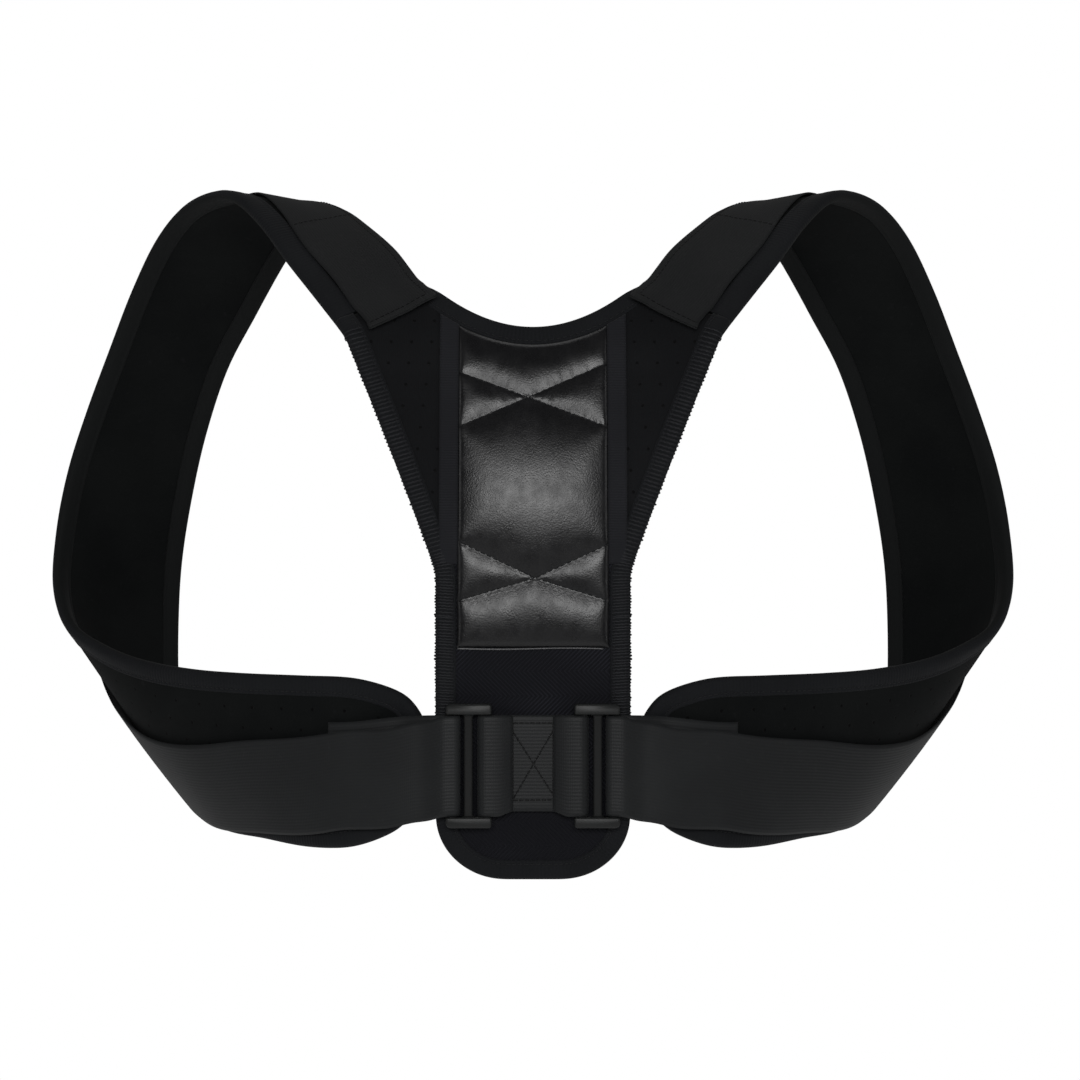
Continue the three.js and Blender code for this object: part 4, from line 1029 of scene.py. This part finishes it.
# Quilting stitches: heavy thread pulled deep into the leather along the arms of both crosses, a
# stitch every 3.4 mm.
def panel_line(ends, height):
    """A straight seam on the panel between two x, z ends, as functions of length along it."""
    start, end = np.asarray(ends[:2]), np.asarray(ends[2:])
    length = float(np.linalg.norm(end - start))

    def spot(places, lift):
        share = np.asarray(places)[..., None] / length
        x, z = np.moveaxis(start + (end - start) * share, -1, 0)
        return stood_on_panel(x, z, np.full(x.shape, lift))

    return lambda at: spot(at, height)[0], lambda at: spot(at, 0.0)[1], length


def joined(name, pieces):
    """One object from several new ones."""
    first = pieces[0]
    with bpy.context.temp_override(
        active_object=first, object=first, selected_objects=pieces,
        selected_editable_objects=pieces,
    ):
        bpy.ops.object.join()
    first.name = first.data.name = name
    return first


quilting = joined("quilting_stitches", [
    lockstitches(f"arm_{k}", *panel_line(seam, 0.00345), pitch=0.0034, width=0.0003)
    for k, seam in enumerate(QUILT_SEAMS)
])
finished(quilting, SEAM_THREAD, "cushion_leather")


# Piping: the leather's lower edge is turned under over a thin cord, which catches the light as
# one fine line above the herringbone ribbon.
def piping_material():
    """Tight glossy leather over the cord, painted ten times lighter than the cushion's leather all
    over: a painted highlight for the line of light that the cord catches.
    """
    piping = Finish("piping_leather", 0.38, 0.7)
    # Painted highlight: the whole cord is coloured about ten times lighter than the cushion.
    colour = piping.dyed((0.07, 0.07, 0.074, 1), (0.12, 0.12, 0.125, 1))
    return piping.shown(colour, (piping.varied["Lint"], 0.3, 0.0001))


PIPE_RADIUS = 0.00042
pipe_x = np.linspace(-0.0377, 0.0352, 60)
pipe_z = CUSHION_FOOT - 0.0003 + 0.0003 * np.sin(pipe_x * 90)
pipe_line, pipe_normal = (a[None] for a in stood_on_panel(pipe_x, pipe_z, np.full(60, 0.0030)))
piping = threads("cushion_piping", pipe_line, pipe_normal, PIPE_RADIUS, PIPE_RADIUS, sides=10)
finished(piping, piping_material(), "cushion_leather")


# Side tapes: narrow woven tapes sewn over the cushion's sides from the neckline to the yoke's
# foot, where they run under the panel's binding.
def side_tape():
    """Woven tape: clear cross ribs over a plain weave, with the ribs' crowns painted lighter as a
    painted highlight.
    """
    tape = Finish("side_tape", 0.82, 0.25, 0.05)
    turn = {"Vector": tape.uv, "Rotation": (0, 0, np.pi / 2)}
    turned = tape.add("ShaderNodeMapping", turn).outputs[0]
    ribs = tape.group(TAPE_RIBS, turned, {"Pitch": 0.0013, "Patch Scale": 30.0})["Height"]
    colour = tape.dyed((0.0108, 0.0112, 0.0142, 1), (0.0152, 0.0158, 0.0192, 1))
    # Painted highlight: the rib crowns are coloured lighter.
    colour = tape.mix(tape.math("MULTIPLY", ribs, 0.5), colour, (0.026, 0.0265, 0.032, 1))
    return tape.shown(colour, (ribs, 0.5, 0.0003))


TAPE_INNER, TAPE_WIDTH, TAPE_FOOT, TAPE_UNDER = 0.0376, 0.0096, -0.034, 0.00215


def tape_patch(across, up):
    x = TAPE_INNER + TAPE_WIDTH * across
    return with_flat_uv(back_surface(x, TAPE_FOOT + (cushion_top(x) - TAPE_FOOT) * up))


def tape_height(distance, uv):
    """Half a millimetre thick, thinned at its edges and pressed down where the binding starts."""
    pressed = np.clip((uv[:, 1] + 0.03) / 0.02, 0, 1)
    edge = np.sqrt(1 - (1 - np.clip(distance / 0.0012, 0, 1)) ** 2)
    return 0.0027 + 0.0006 * edge + 0.0004 * pressed


tape_right = closed_sheet(
    "side_tape_right", [two_way(11, 120, tape_patch)], tape_height,
    lambda distance, uv: np.full(len(distance), -TAPE_UNDER),
)
SIDE_TAPE = side_tape()
for piece, side in pair(tape_right):
    finished(piece, SIDE_TAPE, "side_tape", f"panel_tape_{side}")


# Webbing goods: satin woven polyester. One material for the shoulder covers, the waist straps
# and the sewn centre piece, with fine ribs that run along each.
def webbing(name, dark, light, pitch, rough=0.5):
    """Fine lengthwise ribs crossed by a finer weave, uneven dye, and a little sheen, with the rib
    crowns painted lighter as a painted highlight.
    """
    cloth = Finish(name, rough, 0.28, 0.04)
    u, v = cloth.axes(cloth.uv)
    rib = cloth.ramp(cloth.wave(v, pitch), -0.8, 0.8)
    weave = cloth.ramp(cloth.wave(u, 0.0011), -0.8, 0.8)
    height = cloth.math("ADD", rib, cloth.math("MULTIPLY", weave, 0.45))
    raised, lint = (
        cloth.math("MULTIPLY", value, share)
        for value, share in ((rib, 0.14), (cloth.varied["Lint"], 0.12))
    )
    # Painted highlight: the rib crowns take a colour half again lighter than the light dye.
    rib_painted_highlight = (*(1.5 * v for v in light[:3]), 1)
    colour = cloth.mix(raised, cloth.dyed(dark, light), rib_painted_highlight)
    colour = cloth.mix(lint, colour, (0.05, 0.05, 0.052, 1))
    return cloth.shown(colour, (height, 0.3, 0.00015), (cloth.varied["Shade"], 0.2, 0.0008))


WEBBING = webbing(
    "woven_webbing", (0.0125, 0.0135, 0.0145, 1), (0.0165, 0.018, 0.019, 1), 0.0017
)
COVER_CLOTH = webbing(
    "cover_webbing", (0.0088, 0.0095, 0.0102, 1), (0.0115, 0.0122, 0.013, 1), 0.0014, 0.68
)


def strip(name, centre, half):
    """A woven strip: a grid of middle points, along by across, made half above and half below
    with rounded selvedges. uv is the length along and across in metres."""
    rows, columns = (count // 2 for count in centre.shape[:2])
    along, over = lengths_along(centre[:, columns]), lengths_along(centre[rows])
    uv = np.stack(np.meshgrid(along, over, indexing="ij"), -1)
    height = rounded_rim(half, 0.0011, 0.3)
    return closed_sheet(name, [(centre, uv)], height, height)


# Shoulder covers: a band of the same webbing lies over each shoulder, sewn at its neck side, with
# a turned hem at its loose flap by the neckline.
COVER_FIRST, COVER_LAST, COVER_WIDTH = -0.48, 8.4, 0.038
COVER_HALF, COVER_HEIGHT, COVER_RISE, COVER_CURL = 0.0006, 0.0038, 0.0010, 0.0012


def cover_grid(rows, columns):
    """The cover's middle surface over the pad: its neck side lies over the binding, its arm side
    drops nearer to the pad, and its flap lifts a little at the end."""
    station, share = np.meshgrid(
        np.linspace(COVER_FIRST, COVER_LAST, rows), np.linspace(0, 1, columns), indexing="ij"
    )
    past = np.clip((station - COVER_FIRST) / 1.2, 0, 1)
    neck_side = 0.9 + 0.08 * past
    across = neck_side - (1 - share) * COVER_WIDTH / pad_width(np.maximum(station, 0))
    rise = np.clip((share - 0.55) / 0.3, 0, 1)
    height = COVER_HEIGHT + COVER_RISE * rise**2 * (3 - 2 * rise)
    wave = 0.00025 * np.sin(station * 2.1 + share * 2.5) * np.sin(np.pi * share)
    lift = np.clip((0.35 - (station - COVER_FIRST)) / 0.35, 0, 1) ** 2
    height = height + wave + COVER_CURL * lift * (0.4 + 0.6 * (1 - share))
    return pad_surface(station, across) + pad_normal(station, across) * height[..., None]


def grid_normals(grid):
    return unit(np.cross(np.gradient(grid, axis=0), np.gradient(grid, axis=1)))


COVER_COLUMNS, COVER_MIDDLE, HEM_WIDTH = 33, 16, 0.0042
cover_centre = cover_grid(330, COVER_COLUMNS)
covers = pair(strip("shoulder_cover_cloth_right", cover_centre, COVER_HALF))
hem_rows = cover_grid(1200, COVER_COLUMNS)
hem_rows = hem_rows[lengths_along(hem_rows[:, COVER_MIDDLE]) < HEM_WIDTH][::2]
hem_rows = hem_rows + grid_normals(hem_rows) * 0.0009
hems = pair(strip("cover_hem_right", hem_rows, 0.0005))
cover_places = lengths_along(cover_centre[:, COVER_MIDDLE])
for (piece, side), (hem, _) in zip(covers, hems):
    finished(hem, COVER_CLOTH, "webbing")
    finished(piece, COVER_CLOTH, "webbing", f"shoulder_cover_{side}")


def line_stitches(name, line, normal, height, pitch=0.003, width=0.00028):
    """Lockstitches along a row of points, at a height over it along its normals."""
    places = lengths_along(line)

    def normal_at(at):
        return between(normal, places, at)

    def line_at(at):
        return between(line, places, at) + normal_at(at) * height

    return lockstitches(name, line_at, normal_at, places[-1], pitch=pitch, width=width)


WEB_THREAD = twisted_thread(
    "webbing_thread", (0.0018, 0.0018, 0.0024, 1), (0.0042, 0.0042, 0.005, 1)
)
cover_normals = grid_normals(cover_centre)
hem_row, seam_row = (int(np.searchsorted(cover_places, place)) for place in (0.0054, 0.0885))
for name, row, column in (
    ("cover_hem_stitches", hem_row, slice(1, -1)),
    ("cover_cross_stitches", seam_row, slice(1, -1)),
    ("cover_side_stitches", slice(8, None), 29),
):
    line, normal = cover_centre[row, column], cover_normals[row, column]
    for piece, _ in pair(line_stitches(f"{name}_right", line, normal, COVER_HALF + 0.00005)):
        finished(piece, WEB_THREAD, "webbing")


# Waist straps: 50 mm webbing. Each is sewn to the pad's end, comes through the buckle from behind,
# folds round its outer bar and lies back over itself to a free end at the wearer's side.
WEB_WIDTH, WEB_HALF = 0.05, 0.0007
PAD_TO_STRAP, BEND, FOLD_X, FOLD_Y, CLEAR_X = 0.00455, 0.00261, 0.0395, -0.0091, 0.0505
LANDING = 15.0
STRAP_MIDDLE = np.array([0.71, 0.715, 0.72, 0.7, 0.665, 0.635, 0.6])
STRAP_LIFT = np.array([3.133, 3.133, 3.133, 3.133, 3.2, 3.533, 4.4]) * 0.0015


def natural_spline(values, at):
    """Natural cubic spline through rows of points over their chord length, at shares of it."""
    flat = values.reshape(len(values), -1)
    middle = values[:, values.shape[1] // 2]
    knots = lengths_along(middle)
    gap = np.diff(knots)
    count = len(knots)
    system, right = np.eye(count), np.zeros_like(flat)
    i = np.arange(1, count - 1)
    system[i, i - 1], system[i, i], system[i, i + 1] = gap[:-1], 2 * (gap[:-1] + gap[1:]), gap[1:]
    slope = np.diff(flat, axis=0) / gap[:, None]
    right[1:-1] = 6 * np.diff(slope, axis=0)
    bend = np.linalg.solve(system, right)
    at = np.asarray(at) * knots[-1]
    k = np.clip(np.searchsorted(knots, at) - 1, 0, count - 2)
    past, left, gap = (at - knots[k])[:, None], (knots[k + 1] - at)[:, None], gap[k][:, None]
    curve = (bend[k] * left**3 + bend[k + 1] * past**3) / (6 * gap)
    curve += (flat[k] / gap - bend[k] * gap / 6) * left
    curve += (flat[k + 1] / gap - bend[k + 1] * gap / 6) * past
    return curve.reshape(len(at), *values.shape[1:])


def strap_rows():
    """Rows of the strap's middle surface in order, each nine points across."""
    share = np.linspace(0, 1, 9)

    def on_pad(station, middle, lift):
        half = WEB_WIDTH / pad_width(station) / 2
        across = middle + (2 * share - 1) * half
        stations = np.full(share.shape, float(station))
        return pad_surface(stations, across) + pad_normal(stations, across) * lift

    def over_pad(station):
        at = station - LANDING
        return on_pad(station, through(STRAP_MIDDLE, at), through(STRAP_LIFT, at))

    def upright(x, y, level):
        z = level + WEB_WIDTH / 2 * (1 - 2 * share)
        return np.stack([np.full(9, x), np.full(9, y), z], -1)

    end = pad_surface(float(LAST_STATION), np.array(0.5))
    face = end[1] - PAD_TO_STRAP
    rows = [
        on_pad(20.55, 0.55, 0.00305),
        on_pad(21.0, 0.55, float(through(STRAP_LIFT, 6.0)) - 0.0018),
        upright(end[0] + 0.017, face + 0.0029, STRAP_LEVEL - 0.0015),
        upright(end[0] + 0.006, face - 0.0002, STRAP_LEVEL - 0.0005),
        upright(CLEAR_X, -0.00655, STRAP_LEVEL),
    ]
    for angle in np.linspace(0, np.pi, 9):
        x, y = FOLD_X - BEND * np.sin(angle), FOLD_Y + BEND * np.cos(angle)
        rows.append(upright(x, y, STRAP_LEVEL))
    rows += [
        upright(CLEAR_X - 0.005, -0.01165, STRAP_LEVEL - 0.0005),
        upright(CLEAR_X + 0.001, face - 0.0063, STRAP_LEVEL - 0.0024),
        upright(end[0] + 0.006, face - 0.0038, STRAP_LEVEL - 0.0038),
        upright(end[0] + 0.017, face - 0.0009, STRAP_LEVEL - 0.0065),
    ]
    rows += [over_pad(at) for at in (*np.arange(21, 15.2, -0.5), 15.2)]
    return np.array(rows)


strap_middle = natural_spline(strap_rows(), np.linspace(0, 1, 560))
spread = np.linspace(0, 8, 29)
strap_middle = np.stack([between(row, np.arange(9), spread) for row in strap_middle])
for piece, side in pair(strip("waist_strap_webbing_right", strap_middle, WEB_HALF)):
    finished(piece, WEBBING, "webbing", f"waist_strap_{side}")


# Centre webbing: one loop of the same webbing, rolled round each buckle's inner bar and sewn to
# the panel through both layers with a stitched box and cross.
EYE_X, EYE_BACK, EYE_FRONT, SEWN_FRONT, SEWN_HALF = 0.02325, 0.00505, 0.01165, 0.0066, 0.0106
CENTRE_TOP, CENTRE_FOOT = -0.1094, -0.1575


def centre_profile():
    """x and depth round the loop, from the middle of its back and back there: flat at the back,
    half round each bar, and a quarter round down to the sewn middle."""
    turn = np.linspace(-np.pi / 2, np.pi / 2, 25)
    fall = np.linspace(0, np.pi / 2, 25)[1:]
    middle, radius = (EYE_BACK + EYE_FRONT) / 2, (EYE_FRONT - EYE_BACK) / 2
    parts = [
        (np.linspace(0, EYE_X, 12)[:-1], np.full(11, EYE_BACK)),
        (EYE_X + 0.0038 * np.cos(turn), middle + radius * np.sin(turn)),
        (EYE_X - (EYE_X - SEWN_HALF) * np.sin(fall),
         SEWN_FRONT + (EYE_FRONT - SEWN_FRONT) * np.cos(fall)),
        (np.linspace(SEWN_HALF, 0, 12)[1:], np.full(11, SEWN_FRONT)),
    ]
    half = np.concatenate([np.stack(part, -1) for part in parts])
    return np.concatenate([half, half[-2::-1] * (-1, 1)])


profile = centre_profile()
height_share = np.linspace(0, 1, 37)
fuller = np.clip((np.abs(profile[:, 0]) - 0.01) / 0.008, 0, 1)
foot = CENTRE_FOOT - 0.0022 * fuller**2 * (3 - 2 * fuller)
centre_z = CENTRE_TOP + (foot[:, None] - CENTRE_TOP) * height_share
centre_points = np.broadcast_arrays(profile[:, None, 0], -profile[:, None, 1], centre_z)
centre_points = np.stack(centre_points, -1)
centre_piece = strip("centre_webbing_cloth", centre_points, WEB_HALF)
finished(centre_piece, WEBBING, "webbing", "centre_webbing")


def front_line(x0, z0, x1, z1):
    """A straight line on the sewn front between ends in mm, with its normals."""
    share = np.linspace(0, 1, 40)[:, None]
    front = -SEWN_FRONT - WEB_HALF
    ends = np.array([(x0, front, z0), (x1, front, z1)]) * (0.001, 1, 0.001)
    line = ends[0] * (1 - share) + ends[1] * share
    line[:, 1] -= np.clip((np.abs(line[:, 0]) - SEWN_HALF) / 0.004, 0, 1) ** 2 * 0.001
    return line, np.broadcast_to((0.0, -1.0, 0.0), line.shape)


cross = joined("centre_stitches", [
    line_stitches(f"centre_{k}", *front_line(*ends), 0.0001, pitch=0.0028, width=0.0004)
    for k, ends in enumerate([
        (-9.9, -117.8, 9.9, -149.0), (9.9, -117.3, -9.9, -151.2), (-10.0, -113.3, 10.0, -113.3),
        (-10.0, -151.9, 10.0, -151.7), (-10.1, -113.3, -10.0, -151.9), (10.1, -113.3, 10.0, -151.7),
    ])
])
finished(cross, WEB_THREAD, "webbing")


# Buckles: ladder buckles moulded in black plastic, with two deep rails and three bars. The mould
# leaves rounded edges and a satin face.
def ladder(name):
    """A lattice of cells over x, z and depth: the rails fill their whole depth and the bars only
    the middle one. Faces are kept where a full cell meets an empty one."""
    x = np.array([20.5, 26, 30, 34.5, 39.5, 43.5]) * 0.001
    z = STRAP_LEVEL + np.array([-31, -25.5, 25.5, 31]) * 0.001
    depth = np.array([6.6, 7.6, 10.6, 12.6]) * 0.001
    full = np.zeros((5, 3, 3), bool)
    full[:, [0, 2], :] = True
    full[[0, 2, 4], 1, 1] = True
    shape = (6, 4, 4)
    index = np.arange(np.prod(shape)).reshape(shape)
    grid = np.stack(np.meshgrid(x, z, depth, indexing="ij"), -1)
    points = np.stack([grid[..., 0], -grid[..., 2], grid[..., 1]], -1).reshape(-1, 3)
    padded = np.pad(full, 1)
    faces = []
    for axis in range(3):
        others = [k for k in range(3) if k != axis]
        for step in (0, 1):
            for cell in np.argwhere(full):
                beyond = cell + 1
                beyond[axis] += 2 * step - 1
                if padded[tuple(beyond)]:
                    continue
                corners = []
                for a, b in ((0, 0), (1, 0), (1, 1), (0, 1)):
                    corner = cell.copy()
                    corner[axis] += step
                    corner[others[0]] += a
                    corner[others[1]] += b
                    corners.append(int(index[tuple(corner)]))
                flipped = (step == 1) == (axis == 1)
                faces.append(corners if flipped else corners[::-1])
    used = np.unique(np.array(faces))
    renumbered = np.searchsorted(used, np.array(faces))
    piece = new_piece(name, points[used], facing_out(points[used], renumbered))
    body = bmesh.new()
    body.from_mesh(piece.data)
    bmesh.ops.dissolve_limit(body, angle_limit=0.01, verts=body.verts, edges=body.edges)
    weight = body.edges.layers.float.new("bevel_weight_edge")
    for edge in body.edges:
        ends = np.array([vertex.co for vertex in edge.verts])
        on_end = [np.allclose(ends[:, 0], side_x, atol=1e-6) for side_x in (x[0], x[-1])]
        on_rim = any(np.allclose(ends[:, 2], rim_z, atol=1e-6) for rim_z in (z[0], z[-1]))
        if edge.calc_face_angle(0) > 0.5:
            edge[weight] = (0.6 if on_end[0] else 1.0) if any(on_end) and on_rim else 0.38
    body.to_mesh(piece.data)
    body.free()
    rounding = piece.modifiers.new("rounded", "BEVEL")
    rounding.limit_method = "WEIGHT"
    rounding.width, rounding.segments = 0.003, 4
    rounding.use_clamp_overlap = False
    return piece


def moulded_plastic():
    """Black moulding with a fine texture: satin on the rails and matt on the bars, for grip. All
    but the rails' front is painted darker: painted shade of the recess.
    """
    plastic = Finish("moulded_plastic", 0.45, 0.45)
    spark = plastic.noise(plastic.place, 2200.0, 1.0)
    backwards = plastic.math("MULTIPLY", plastic.axes(plastic.place)[1], -1.0)
    rail = plastic.ramp(backwards, 0.0107, 0.0111)
    colour = plastic.dyed((0.0085, 0.0095, 0.0095, 1), (0.0115, 0.0125, 0.0125, 1))
    # Painted shade: everything set back behind the rails' front, bars included, is coloured darker.
    colour = plastic.mix(rail, (0.0045, 0.005, 0.005, 1), colour)
    plastic.link(plastic.ramp(rail, 0.0, 1.0, 0.72, 0.42), plastic.shader["Roughness"])
    return plastic.shown(colour, (spark, 0.15, 0.0001))


PLASTIC = moulded_plastic()
for piece, side in pair(ladder("ladder_buckle_right")):
    finished(piece, PLASTIC, "buckle_plastic", f"buckle_{side}")


# Studio: plain white round the brace, a pale floor far below it, a large softbox over the camera,
# weak fills, and a level camera behind the wearer, 1.5 m away.
def floor_material():
    """Matt pale paper."""
    paper = bpy.data.materials.new("pale_paper")
    paper.use_nodes = True
    shader = paper.node_tree.nodes["Principled BSDF"].inputs
    shader["Base Color"].default_value = (0.85, 0.85, 0.85, 1)
    shader["Roughness"].default_value = 0.9
    shader["Specular IOR Level"].default_value = 0.1
    shader["Emission Color"].default_value = (1, 1, 1, 1)
    shader["Emission Strength"].default_value = 0.2
    return paper


FLOOR_Z = -1.15
corners = np.array([(-4.0, -4.0), (4.0, -4.0), (4.0, 4.4), (-4.0, 4.4)])
corners = np.column_stack([corners, np.full(4, FLOOR_Z)])
floor = new_piece("pale_floor", corners, [[0, 1, 2, 3]])
floor.data.materials.append(floor_material())

# The world is white to the camera and dim as a light.
WORLD_LIGHT = 0.07
scene = bpy.context.scene
world = scene.world = bpy.data.worlds.new("studio")
world.use_nodes = True
surround = Graph(world.node_tree)
seen = surround.add("ShaderNodeLightPath").outputs["Is Camera Ray"]
levels = {"Value": seen, "To Min": WORLD_LIGHT, "To Max": 1.0}
sky = world.node_tree.nodes["Background"].inputs
sky["Color"].default_value = (1, 1, 1, 1)
surround.link(surround.add("ShaderNodeMapRange", levels).outputs["Result"], sky["Strength"])

for name, place, size, power in (
    ("key", (0, -2.2, 0.42), (1.3, 0.55), 17),
    ("fill_left", (-2.2, -1.0, 0.5), (0.6, 1.6), 3.5),
    ("fill_right", (2.2, -1.0, 0.5), (0.6, 1.6), 3.5),
    ("top", (0, 0.1, 2.2), (1.6, 1.0), 5),
):
    lamp = bpy.data.lights.new(name, "AREA")
    lamp.shape, lamp.size, lamp.size_y, lamp.energy = "RECTANGLE", *size, power
    softbox = bpy.data.objects.new(name, lamp)
    scene.collection.objects.link(softbox)
    softbox.location = place
    softbox.rotation_euler = (-softbox.location).to_track_quat("-Z", "Y").to_euler()

lens = bpy.data.cameras.new("camera")
lens.sensor_width, lens.lens, lens.shift_x = 36, 100, 7 / 1080
camera = bpy.data.objects.new("camera", lens)
scene.collection.objects.link(camera)
camera.location = (0, -1.504, -0.022)
camera.rotation_euler = (np.pi / 2, 0, 0)
scene.camera = camera
scene.view_settings.view_transform = "Standard"
